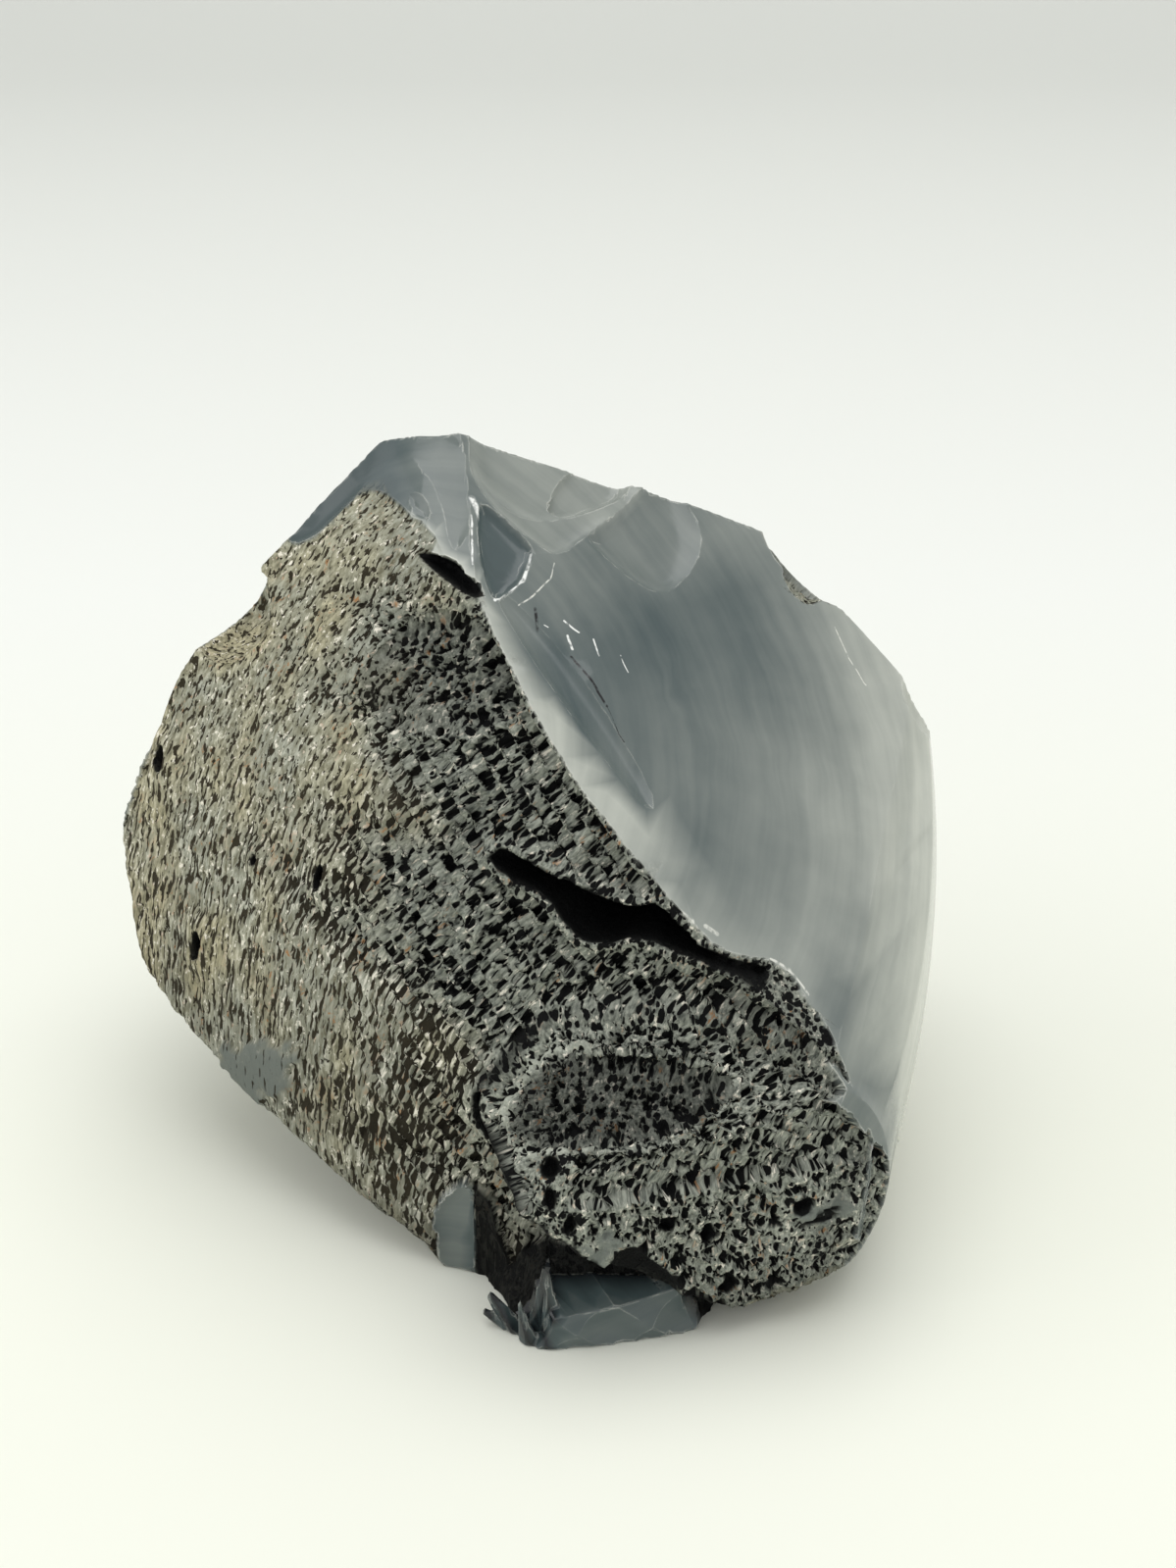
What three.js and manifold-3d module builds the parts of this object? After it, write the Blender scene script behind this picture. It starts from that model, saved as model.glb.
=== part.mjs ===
// A broken chunk of obsidian, standing on its narrow foot. Millimetres, +Z up, the front towards -Y.
// The stone is one solid: a block with its outside taken away along every fracture face, then the
// flake scars, the open fissure and the largest gas pores cut out of it.
import * as THREE from 'three';
import { mergeVertices } from 'three/addons/utils/BufferGeometryUtils.js';
import Module from 'manifold-3d';

const wasm = await Module();
wasm.setup();

// ---- sizes
const BLOCK = { wide: 150, deep: 140, tall: 130 };  // what the fracture faces are cut from
const REACH = 260;                                  // each fracture face is cut this wide
const AWAY = 110;                                   // and everything this far outside it goes
const BOW_AT = 30;                                  // a face's bow is how far it falls this far out
const BOW_RATIO = 0.6;                              // how far out of its face a hollow's centre sits
const MERGE = 1e-4;                                 // points closer than this are one
const FISSURE_STEPS = 4;                            // bands from the fissure's mouth to its inner end
const CENTRE = { x: -0.8, y: -3.15 };               // middle of the finished stone, moved to the origin
const SMALL = 3;                                    // a hollow narrower than this each way is a pore
const ROUND = { scar: 28, pore: 12 };               // facets around a scar and around a pore
const BLADE = { sides: 5, tip: 0.25, sunk: 0.2 };   // a glass blade: its facets, tip to root, and start

// ---- what a skin is like: the size of its cells and the depth of its lumps
const skins = {
  crust: { cell: 4.7, lumps: 0.4 },
  rough: { cell: 7, lumps: 0.6 },
  glass: { cell: 7, lumps: 0 },
};

// ---- fracture faces: a point on the face, where it looks (turn about Z from the front, to the right,
// then tilt upwards) and how far it bows away across and along at BOW_AT from that point
const bodyFaces = {
  crustLeft: { at: [-46, -1.5, 49], turn: -45.5, tilt: 15, bow: [2.2, 3.8], skin: 'crust' },
  crustFold: { at: [-31, -17.5, 52], turn: -33, tilt: 15.5, bow: [1, 3.6], skin: 'crust' },
  crustFront: { at: [-8, -28, 50], turn: -22, tilt: 16.5, bow: [3.5, 3.5], skin: 'crust' },
  glassMain: { at: [28.5, -13.5, 64], turn: 46, tilt: 48.5, bow: [0, 0], skin: 'glass' },
  glassTurn: { at: [49.3, -3.4, 56.5], turn: 63, tilt: 27, bow: [0, 1], skin: 'glass' },
  glassRight: { at: [56, 2, 47], turn: 80, tilt: 6, bow: [2.2, 3], skin: 'glass' },
  topLeft: { at: [-24, 9.8, 94.8], turn: -42, tilt: 46, bow: [1, 1.2], skin: 'glass' },
  topMiddle: { at: [-12, 5.5, 98.5], turn: -16, tilt: 52, bow: [1, 1], skin: 'glass' },
  backTop: { at: [5, 22, 93], turn: 173, tilt: 44, bow: [1.5, 1], skin: 'glass' },
  backRight: { at: [47.8, 28.6, 60.4], turn: 123, tilt: 27, bow: [1.5, 2], skin: 'rough' },
  backRightLow: { at: [56.4, 12, 40], turn: 107, tilt: -16, bow: [2.3, 2], skin: 'rough' },
  backLeftTop: { at: [-37.4, 18.6, 77.2], turn: -126, tilt: 33, bow: [1, 0.5], skin: 'glass' },
  backLeft: { at: [-54.8, 19.3, 49.5], turn: -110, tilt: 20, bow: [2, 2.7], skin: 'glass' },
  backLeftLow: { at: [-56, 9.5, 28.5], turn: -109, tilt: -17, bow: [2, 2], skin: 'rough' },
  back: { at: [0, 46, 46], turn: 180, tilt: 4, bow: [3, 2.5], skin: 'rough' },
  underLeft: { at: [-40.5, -8.5, 14.3], turn: -65, tilt: -47, bow: [0.7, 0.4], skin: 'rough' },
  underRight: { at: [49, -9, 14], turn: 97, tilt: -28, bow: [1, 1], skin: 'rough' },
  underLeftLow: { at: [-19, 13, 0], turn: -105, tilt: -56, bow: [1, 1], skin: 'rough' },
  underRightLow: { at: [37, 4, 5], turn: 104, tilt: -56, bow: [1, 1], skin: 'rough' },
  underLobe: { at: [34, -38, 4.5], turn: 28, tilt: -42, bow: [1, 1], skin: 'rough' },
  underBack: { at: [0, 32, 12], turn: 178, tilt: -50, bow: [2, 2], skin: 'rough' },
  underFront: { at: [-6, -37, 1], turn: -12, tilt: -50, bow: [2, 2], skin: 'glass' },
};
const lobeFaces = {
  lobeFront: { at: [16, -47, 36], turn: 1, tilt: 45, bow: [3, 2], skin: 'crust' },
  lobeLow: { at: [21, -48.5, 20], turn: 14, tilt: -4, bow: [2.4, 2], skin: 'crust' },
  lobeTop: { at: [20, -41, 43.6], turn: -24, tilt: 62, bow: [1, 1], skin: 'crust' },
  lobeShoulder: { at: [1, -40, 37], turn: -65, tilt: 35, bow: [1, 1], skin: 'crust' },
  lobeRight: { at: [47.5, -35, 22], turn: 56, tilt: 4, bow: [2, 2], skin: 'crust' },
  lobeLeft: { at: [-4, -44, 28], turn: -76, tilt: 2, bow: [2, 2], skin: 'crust' },
  lobeLip: { at: [3, -45.5, 15], turn: -40, tilt: -35, bow: [0, 0], skin: 'glass' },
  lobeUnder: { at: [34, -40, 3], turn: 34, tilt: -48, bow: [1, 1], skin: 'rough' },
  lobeBack: { at: [25, -22, 30], turn: 180, tilt: 0, bow: [0, 0], skin: 'glass' },
};
const footFaces = {
  footFront: { at: [7, -48, 0.5], turn: 8, tilt: 14, bow: [5, 0], skin: 'glass' },
  footLeft: { at: [1, -44, 4], turn: -60, tilt: 25, bow: [3, 3], skin: 'glass' },
  footRight: { at: [28, -38, 3], turn: 65, tilt: 25, bow: [3, 3], skin: 'glass' },
  footTop: { at: [12, -40, 9], turn: 0, tilt: 60, bow: [0, 0], skin: 'glass' },
  footBack: { at: [9, -25, 5], turn: 180, tilt: 0, bow: [0, 0], skin: 'glass' },
};

// ---- flake scars: the middle of the scar on the face, where it looks, its half width, half height and
// depth, and how its width is rolled in the face
const scars = {
  upperFlake: { at: [5.2, 13.1, 95.1], turn: 46, tilt: 48.5, size: [16, 6, 2.2], roll: -34 },
  innerFlake: { at: [3.7, 9.2, 93.8], turn: 46, tilt: 48.5, size: [12, 5, 1.8], roll: -31 },
  rightFlake: { at: [19.4, 13.6, 86.5], turn: 46, tilt: 48.5, size: [11, 6.5, 1.3], roll: -20 },
  ridgeFlake: { at: [5, -15.7, 77.6], turn: 46, tilt: 48.5, size: [17, 2.6, 1.2], roll: 91 },
  crustHollow: { at: [-12.6, -11.1, 79.7], turn: -22, tilt: 16, size: [11, 8, 1.2], roll: 0 },
  rimChip: { at: [53.5, 14, 63], turn: 90, tilt: 20, size: [3, 5, 1.2], roll: 10 },
  topChip: { at: [38.8, 24, 79.6], turn: 110, tilt: 45, size: [8, 9, 2.8], roll: 0 },
  leftChip: { at: [-39, 10.5, 78.6], turn: -95, tilt: 25, size: [8, 6.5, 3.8], roll: 0 },
  lobeHollow: { at: [11, -45, 37.5], turn: 1, tilt: 45, size: [12, 4.5, 1.2], roll: 8 },
  backFlake: { at: [6, 30, 86], turn: 172, tilt: 44, size: [18, 9, 2.4], roll: 14 },
  backShell: { at: [-8, 46, 44], turn: 182, tilt: 4, size: [24, 16, 3], roll: 24 },
  leftShell: { at: [-53, 22, 48], turn: -112, tilt: 20, size: [11, 14, 2.2], roll: -18 },
  rightShell: { at: [52, 24, 42], turn: 112, tilt: 2, size: [12, 15, 2], roll: 20 },
};

// ---- the open fissure: its mouth drawn on the front crust, across and along from its middle; it runs
// `deep` into the stone, narrowing to innerScale, and `proud` out of it
const fissure = {
  at: [14.2, -32, 57.7], turn: -22, tilt: 6, deep: 15, proud: 8, innerScale: 0.5,
  mouth: [
    [-20, 3.6], [-14.5, 4], [-10, 2.8], [-4, 2], [1.3, 0.2], [6.5, -2], [11.5, -5], [18, -7.4], [21.5, -9],
    [18, -9.4], [13, -8.6], [6.5, -4.5], [0, -3.8], [-4, -5.5], [-9.5, -6], [-10.7, -3.3], [-13.3, -0.2],
    [-17.5, 0.4],
  ],
};
const crustSlit = { at: [-9.9, -4.5, 90.5], turn: 0, tilt: 40, size: [5.5, 1.1, 4], roll: -38 };

// ---- the largest gas pores: middle on the skin, where it looks, half width, half height and depth
const pores = [
  { at: [-51.7, 8.6, 57.7], turn: -49, tilt: 19, size: [1.3, 2, 2.5] },
  { at: [-46.1, -5.3, 35.4], turn: -45, tilt: 8, size: [1.2, 2.5, 3] },
  { at: [-37.1, -8.9, 51], turn: -41, tilt: 16, size: [0.8, 1, 1.5] },
  { at: [-25.7, -17.5, 51.9], turn: -35, tilt: 17, size: [0.9, 1.4, 2] },
  { at: [3.2, -50.9, 31.7], turn: 5, tilt: 30, size: [1.3, 1.6, 2] },
  { at: [35.5, -44.2, 20.6], turn: 19, tilt: -4, size: [1.5, 1.3, 2] },
  { at: [9.9, -50.8, 18.8], turn: 11, tilt: -4, size: [1.4, 1.7, 2] },
];

// ---- thin blades of glass that stand on the foot, left of it: middle of the blade, size and lean
const blades = [
  { at: [-2, -40.5, 0], size: [1.6, 2.4, 6.5], lean: -16 },
  { at: [0.5, -43.5, 0], size: [1.5, 2.2, 9], lean: 4 },
  { at: [4, -45.5, 0], size: [2, 2.2, 7], lean: 22 },
];

const RAD = Math.PI / 180;

// The frame of a face: across is level, along runs up the face, out points away from the stone.
function faceMatrix({ at, turn, tilt, roll = 0 }) {
  const across = new THREE.Vector3(Math.cos(turn * RAD), Math.sin(turn * RAD), 0);
  const level = new THREE.Vector3(across.y, -across.x, 0);
  const out = level.multiplyScalar(Math.cos(tilt * RAD)).setZ(Math.sin(tilt * RAD));
  const along = new THREE.Vector3().crossVectors(out, across);
  const frame = new THREE.Matrix4().makeBasis(across, along, out);
  return frame.multiply(new THREE.Matrix4().makeRotationZ(roll * RAD)).setPosition(...at);
}

function solid(geometry) {
  geometry.deleteAttribute('normal');
  geometry.deleteAttribute('uv');
  const closed = mergeVertices(geometry, MERGE);
  return new wasm.Manifold(new wasm.Mesh({
    numProp: 3,
    vertProperties: new Float32Array(closed.attributes.position.array),
    triVerts: new Uint32Array(closed.index.array),
  }));
}

// Lumps of the crust, between -1 and 1: broad ones some 20 mm apart and small ones some 8 mm apart.
function lumps({ x, y, z }) {
  const broad = Math.sin(0.31 * x + 0.22 * z) * Math.cos(0.27 * y - 0.36 * z);
  const small = Math.sin(0.83 * x - 0.47 * y) * Math.cos(0.71 * z + 0.52 * x);
  return 0.5 * broad + 0.5 * small;
}

// What lies outside one fracture face: a slab whose underside is the curved face with its lumps.
function outsideOf(face) {
  const { cell, lumps: lumpHeight } = skins[face.skin];
  const cells = Math.round(REACH / cell);
  const slab = new THREE.BoxGeometry(REACH, REACH, AWAY, cells, cells, 1);
  const place = faceMatrix(face);
  const position = slab.attributes.position;
  const point = new THREE.Vector3();
  for (let i = 0; i < position.count; i++) {
    point.fromBufferAttribute(position, i);
    const onFace = point.z < 0;
    const fall = face.bow[0] * (point.x / BOW_AT) ** 2 + face.bow[1] * (point.y / BOW_AT) ** 2;
    point.z = onFace ? -fall : AWAY;
    const relief = onFace ? lumpHeight * lumps(point.clone().applyMatrix4(place)) : 0;
    position.setXYZ(i, point.x, point.y, point.z + relief);
  }
  return solid(slab.applyMatrix4(place));
}

// The block, standing on the floor, with everything outside its faces taken away.
function cutFrom(faces) {
  const block = new THREE.BoxGeometry(BLOCK.wide, BLOCK.deep, BLOCK.tall).translate(0, 0, BLOCK.tall / 2);
  return Object.values(faces).reduce((rest, face) => rest.subtract(outsideOf(face)), solid(block));
}

// A flake scar or a pore: an ellipsoid that dips `size` deep into the face and meets it in an ellipse.
function hollow({ size: [halfWidth, halfHeight, depth], ...face }) {
  const facets = halfWidth > SMALL ? ROUND.scar : ROUND.pore;
  const stretch = 1 / Math.sqrt(1 - BOW_RATIO ** 2);
  const out = depth / (1 - BOW_RATIO);
  const bowl = new THREE.SphereGeometry(1, facets, Math.round(facets * 0.7));
  bowl.scale(halfWidth * stretch, halfHeight * stretch, out);
  return solid(bowl.translate(0, 0, BOW_RATIO * out).applyMatrix4(faceMatrix(face)));
}

// The fissure: its mouth run into the stone and narrowed towards the inner end.
function fissureWedge({ mouth, deep, proud, innerScale, ...face }) {
  const outline = new THREE.Shape(mouth.map(([x, y]) => new THREE.Vector2(x, y)));
  const run = { depth: deep + proud, steps: FISSURE_STEPS, bevelEnabled: false };
  const wedge = new THREE.ExtrudeGeometry(outline, run);
  wedge.translate(0, 0, -deep);
  const position = wedge.attributes.position;
  for (let i = 0; i < position.count; i++) {
    const inwards = Math.max(0, -position.getZ(i) / deep);
    const scale = 1 - (1 - innerScale) * inwards;
    position.setXYZ(i, position.getX(i) * scale, position.getY(i) * scale, position.getZ(i));
  }
  return solid(wedge.applyMatrix4(faceMatrix(face)));
}

function blade({ at, size, lean }) {
  const spike = new THREE.CylinderGeometry(BLADE.tip, 1, 1, BLADE.sides);
  spike.rotateX(Math.PI / 2).translate(0, 0, 0.5).scale(...size).rotateY(lean * RAD);
  return solid(spike.translate(at[0], at[1], BLADE.sunk));
}

function obsidianChunk() {
  let stone = cutFrom(bodyFaces);
  const { glassMain, glassTurn, glassRight, underRight, underRightLow } = bodyFaces;
  stone = stone.add(cutFrom({ ...lobeFaces, glassMain, glassTurn, glassRight, underRight, underRightLow }));
  stone = stone.add(cutFrom(footFaces));
  for (const piece of blades) stone = stone.add(blade(piece));
  for (const scar of Object.values(scars)) stone = stone.subtract(hollow(scar));
  for (const pore of [crustSlit, ...pores]) stone = stone.subtract(hollow(pore));
  stone = stone.subtract(fissureWedge(fissure));
  const floor = new THREE.BoxGeometry(BLOCK.wide, BLOCK.deep, AWAY).translate(0, 0, -AWAY / 2);
  stone = stone.subtract(solid(floor));
  return stone;
}

// ---- the part
const obsidian = new THREE.MeshStandardMaterial({ color: 0x5f6a6c, roughness: 0.35, metalness: 0 });

function meshOf(name, manifold, material) {
  const { vertProperties, triVerts } = manifold.getMesh();
  const geometry = new THREE.BufferGeometry();
  geometry.setAttribute('position', new THREE.BufferAttribute(vertProperties, 3));
  geometry.setIndex(new THREE.BufferAttribute(triVerts, 1));
  geometry.computeVertexNormals();
  const mesh = new THREE.Mesh(geometry, material);
  mesh.name = name;
  return mesh;
}

const group = new THREE.Group();
const chunk = meshOf('obsidian_chunk', obsidianChunk(), obsidian);
chunk.position.set(-CENTRE.x, -CENTRE.y, 0);
group.add(chunk);

export default group;
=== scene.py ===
import math
import bmesh
import bpy
import numpy as np
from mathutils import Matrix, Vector


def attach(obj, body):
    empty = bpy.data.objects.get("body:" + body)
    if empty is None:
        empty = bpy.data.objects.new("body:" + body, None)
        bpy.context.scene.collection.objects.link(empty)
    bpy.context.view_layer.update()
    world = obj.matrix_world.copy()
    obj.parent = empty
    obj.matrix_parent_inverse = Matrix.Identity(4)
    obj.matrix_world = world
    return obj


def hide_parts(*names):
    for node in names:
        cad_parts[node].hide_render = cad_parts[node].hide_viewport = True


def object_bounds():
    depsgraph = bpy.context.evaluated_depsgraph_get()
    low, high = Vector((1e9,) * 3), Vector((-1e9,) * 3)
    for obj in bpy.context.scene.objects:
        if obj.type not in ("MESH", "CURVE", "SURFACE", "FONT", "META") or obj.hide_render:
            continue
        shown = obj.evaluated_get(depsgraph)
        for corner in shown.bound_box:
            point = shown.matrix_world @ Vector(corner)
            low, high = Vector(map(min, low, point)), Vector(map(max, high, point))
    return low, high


# Broken chunk of obsidian on a pale sweep. The stone's fracture faces are given in mm, as the CAD has
# them; everything that Blender holds is in metres.
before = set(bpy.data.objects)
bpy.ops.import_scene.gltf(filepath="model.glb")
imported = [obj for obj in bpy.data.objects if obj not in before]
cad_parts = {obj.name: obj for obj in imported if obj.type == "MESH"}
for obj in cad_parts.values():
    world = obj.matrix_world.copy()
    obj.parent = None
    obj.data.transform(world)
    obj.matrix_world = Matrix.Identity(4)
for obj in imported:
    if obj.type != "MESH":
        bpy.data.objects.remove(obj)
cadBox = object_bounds()
mm = 0.001
print("frame loaded")

# the camera's view, in mm as the stone's shape is; outlines further down are drawn in its pixels
view = {
    "aim": (8, 0, 58),
    "down": 28,  # how far the camera looks down, degrees
    "distance": 340,
    "nearest": 200,  # where its rays begin to look for the stone
    "steps": 80,  # and how many steps they take to its skin
    "lens": 57.4,
    "sensor": 36,
    "picture": (1199, 1599),  # pixels across and down
}

# the stone's shape, in mm
shape = {
    "middle": (-0.8, -3.15, 0),  # middle of the stone in plan, which is the frame's origin
    "grid": 0.76,  # the stone is first filled on a grid this fine, then divided once
    "smallest": 3000,  # loose splinters with fewer points than this are swept away
    "triangles": 190000,
    "bowAt": 30,  # a face's bow is how far it falls this far out
    "centreOut": 0.6,  # how far out of its face a scar's centre sits
    "fold": 1.6,  # how softly two crust faces run into each other
    "ridge": 0.12,  # and two glass faces
    "crease": 0.4,  # and the lobe into the stone
    "outlineMargin": 4,  # an outline is worked out this far round itself
    "outlineReach": 14,  # and this far in front of its face and behind it
    "fissureReach": 34,
    "offOutline": -25,  # depth given to places beyond those
    "offHole": -50,
    "crevice": (0.7, 2.6),  # half width and depth of the dark gap along the lobe's left side
}

# point on the face, turn, tilt, bow across and along, skin
bodyFaces = {
    "crustLeft": ((-46, -1.5, 49), -45.5, 15, (2.2, 3.8), "crust"),
    "crustFold": ((-31, -17.5, 52), -33, 15.5, (1, 3.6), "crust"),
    "crustFront": ((-8, -28, 50), -22, 16.5, (3.5, 3.5), "crust"),
    "backRight": ((47.8, 28.6, 60.4), 123, 27, (1.5, 2), "glass"),
    "backRightLow": ((56.4, 12, 40), 107, -16, (2.3, 2), "rough"),
    "backLeftLow": ((-56, 9.5, 28.5), -109, -17, (2, 2), "rough"),
    "back": ((0, 46, 46), 180, 4, (3, 2.5), "glass"),
    "underLeft": ((-40.5, -8.5, 14.3), -65, -47, (0.7, 0.4), "rough"),
    "underRight": ((49, -9, 14), 97, -28, (1, 1), "rough"),
    "underLeftLow": ((-19, 13, 0), -105, -56, (1, 1), "rough"),
    "underRightLow": ((37, 4, 5), 104, -56, (1, 1), "rough"),
    "underLobe": ((34, -38, 4.5), 28, -42, (1, 1), "rough"),
    "underBack": ((0, 32, 12), 178, -50, (2, 2), "rough"),
    "glassMain": ((28.5, -13.5, 64), 46, 48.5, (0, 0), "glass"),
    "glassTurn": ((49.3, -3.4, 56.5), 63, 27, (0, 1), "glass"),
    "glassRight": ((56, 2, 47), 80, 6, (2.2, 3), "glass"),
    "topLeft": ((-24, 9.8, 94.8), -42, 46, (1, 1.2), "glass"),
    "topMiddle": ((-12, 5.5, 98.5), -16, 52, (1, 1), "glass"),
    "backTop": ((5, 22, 93), 173, 44, (1.5, 1), "glass"),
    "backLeftTop": ((-37.4, 18.6, 77.2), -126, 33, (1, 0.5), "glass"),
    "backLeft": ((-54.8, 19.3, 49.5), -110, 20, (2, 2.7), "glass"),
    # pore skin: the underside at the front is coloured black as painted shade
    "underFront": ((-6, -37, 1), -12, -50, (2, 2), "pore"),
}
lobeFaces = {
    "lobeFront": ((16, -47, 36), 1, 45, (3, 2), "crust"),
    "lobeLow": ((21, -48.5, 20), 14, -4, (2.4, 2), "crust"),
    "lobeTop": ((20, -41, 43.6), -24, 62, (1, 1), "crust"),
    "lobeShoulder": ((1, -40, 37), -65, 35, (1, 1), "crust"),
    "lobeRight": ((43.4, -42.6, 28), 45, 15, (1, 1), "glass"),
    "lobeEnd": ((46, -42, 26), 77.5, 10, (0, 22), "glass"),
    "lobeLeft": ((-4, -44, 28), -76, 2, (2, 2), "crust"),
    "lobeUnder": ((34, -40, 3), 34, -48, (1, 1), "rough"),
    # pore skin: the lip's and the belly's undersides are coloured black as painted shade
    "lobeLip": ((2.5, -52.2, 21.4), -77.5, -45, (0, 0), "pore"),
    "lobeBelly": ((13, -49.6, 12), -72, -60, (0, 0), "pore"),
    "lobeBack": ((25, -22, 30), 180, 0, (0, 0), "glass"),
}
lobeShared = ("underRight", "underRightLow", "glassMain")
allFaces = {**bodyFaces, **lobeFaces}
footFaces = {
    "footFront": ((7, -48, 0.5), 8, 14, (5, 0), "glass"),
    "footLeft": ((1, -44, 4), -60, 25, (3, 3), "glass"),
    "footRight": ((24.5, -38, 3), 65, 25, (3, 3), "glass"),
    "footTop": ((12, -40, 9), 0, 60, (0, 0), "glass"),
    "footBack": ((9, -25, 5), 180, 0, (0, 0), "glass"),
}
# middle on the face, turn, tilt, (half width, half height, depth), roll, skin
scars = {
    "rimChip": ((53.5, 14, 63), 90, 20, (3, 5, 1.2), 10, "glass"),
    "topChip": ((38.8, 24, 79.6), 110, 45, (8, 9, 2.8), 0, "rough"),
    "leftChip": ((-39, 10.5, 78.6), -95, 25, (8, 6.5, 3.8), 0, "crust"),
    "backFlake": ((6, 30, 86), 172, 44, (18, 9, 2.4), 14, "glass"),
    "backShell": ((-8, 46, 44), 182, 4, (24, 16, 3), 24, "glass"),
    "leftShell": ((-53, 22, 48), -112, 20, (11, 14, 2.2), -18, "glass"),
    "rightShell": ((52, 24, 42), 112, 2, (12, 15, 2), 20, "glass"),
}
# the largest gas pores: face, place in the view, (half width, half height, depth), roll
poresSeen = {
    "topLeft": ("crustLeft", (161, 774), (1.0, 2.0, 3.0), 8),
    "left": ("crustLeft", (198, 965), (1.0, 2.3, 3.2), -4),
    "small": ("crustLeft", (257, 877), (0.5, 0.8, 1.9), 0),
    "fold": ("crustFold", (323, 895), (0.6, 1.9, 2.0), -6),
    "lobeTop": ("lobeFront", (560, 1190), (1.3, 1.5, 1.8), 0),
    "lobeRight": ("lobeLow", (820, 1230), (1.5, 1.3, 2.0), 0),
    "lobeLow": ("lobeLow", (581, 1250), (0.8, 1.6, 1.6), -8),
    "lobeLeft": ("lobeLow", (561, 1223), (0.7, 1.8, 1.4), 4),
    "lobeUpperSlit": ("lobeLow", (843, 1235), (1.5, 0.3, 0.8), 14),
    "lobeLowerSlit": ("lobeLow", (833, 1246), (2.9, 0.4, 1.2), 12),
}
# flakes struck off a face: depth, width of the slope inside the rim, skin, and the outline in the view
flakesSeen = {
    "scoop": ("glassMain", 0.8, 0.9, "glass", [
        (478, 480), (500, 513), (530, 541), (556, 561), (566, 565), (577, 561), (600, 545), (622, 529),
        (650, 513), (660, 480), (600, 430), (480, 425)]),
    "innerScoop": ("glassMain", 2.0, 1.6, "glass", [
        (482, 482), (502, 509), (530, 529), (558, 534), (585, 531), (615, 519), (645, 507), (650, 475),
        (560, 420), (482, 430)]),
    "scoopStep": ("glassMain", 2.8, 0.5, "glass", [
        (572, 482), (565, 500), (561, 512), (566, 521), (578, 524), (600, 521), (640, 506), (650, 484),
        (604, 457)]),
    "browScoop": ("glassMain", 1.2, 1.4, "glass", [
        (599, 546), (604, 556), (625, 575), (650, 595), (668, 604), (684, 603), (702, 586), (714, 560),
        (712, 535), (700, 514), (688, 494), (648, 496), (622, 527)]),
    "ridgeLeaf": ("glassMain", 0.5, 0.7, "glass", [
        (505, 612), (540, 669), (578, 722), (636, 800), (655, 822), (666, 826), (667, 815), (655, 788),
        (615, 725), (570, 660), (518, 604)]),
    "darkTriangle": ("glassMain", 0.9, 0.5, "glass", [
        (487, 512), (500, 517), (530, 545), (543, 560), (541, 572), (530, 594), (508, 613), (498, 603),
        (488, 560)]),
    "middleFacet": ("topMiddle", 0.6, 0.6, "glass", [
        (385, 452), (408, 462), (412, 478), (425, 475), (440, 490), (452, 520), (457, 545), (465, 565),
        (490, 520), (485, 455), (450, 430)]),
    "smallScar": ("topMiddle", 0.7, 0.6, "glass", [
        (410, 497), (425, 500), (436, 512), (440, 528), (432, 530), (420, 525), (412, 512)]),
    "crustPatch": ("crustFront", 1.3, 0.8, "crust", [
        (355, 712), (362, 684), (378, 660), (394, 643), (411, 631), (440, 622), (475, 628), (505, 655),
        (525, 700), (510, 735), (470, 750), (400, 745)]),
    "crustSlit": ("crustFront", 3.2, 0.5, "pore", [
        (421, 565), (440, 564), (462, 573), (472, 584), (494, 609), (484, 611), (470, 604), (445, 586)]),
    "lowFacet": ("crustFront", 1.3, 0.8, "glass", [
        (438, 1244), (450, 1222), (470, 1208), (487, 1216), (500, 1232), (506, 1262), (520, 1295),
        (525, 1350), (480, 1365), (430, 1335), (441, 1290), (446, 1270)]),
    "topLeftGlass": ("crustLeft", 0.8, 0.5, "glass", [
        (270, 550), (288, 546), (300, 556), (320, 548), (345, 525), (380, 490), (345, 460), (295, 495)]),
    "crustPeak": ("topLeft", 0.3, 0.3, "crust", [
        (325, 560), (345, 528), (366, 502), (380, 499), (393, 502), (412, 517), (430, 541), (425, 575),
        (372, 580)]),
    "crustBrow": ("topMiddle", 0.3, 0.3, "crust", [
        (366, 502), (380, 499), (393, 502), (412, 517), (427, 530), (447, 550), (435, 578), (360, 575)]),
    "ridgeNotch": ("glassMain", 0.4, 0.3, "crust", [
        (705, 958), (726, 962), (748, 972), (770, 977), (784, 979), (799, 988), (810, 998), (820, 1018),
        (836, 1036), (851, 1062), (860, 1092), (825, 1105), (750, 1035)]),
    "rimNotch": ("glassMain", 0.7, 0.5, "rough", [
        (797, 583), (804, 600), (813, 610), (826, 618), (847, 607), (835, 575), (808, 558)]),
    "rimStep": ("glassTurn", 1.0, 0.6, "glass", [
        (850, 680), (855, 644), (890, 649), (920, 695), (910, 735), (880, 725)]),
    "lobeHollow": ("lobeFront", 2.0, 0.9, "crust", [
        (500, 1135), (508, 1104), (530, 1078), (556, 1063), (589, 1062), (640, 1072), (700, 1083),
        (755, 1100), (720, 1140), (640, 1165), (560, 1168), (515, 1160)]),
    # pore skin: the cave under the lip is coloured black as painted shade
    "lipCave": ("lobeLow", 4.0, 1.2, "pore", [
        (606, 1304), (620, 1292), (630, 1277), (645, 1270), (662, 1284), (680, 1296), (694, 1310),
        (700, 1335), (605, 1335)]),
}
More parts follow.
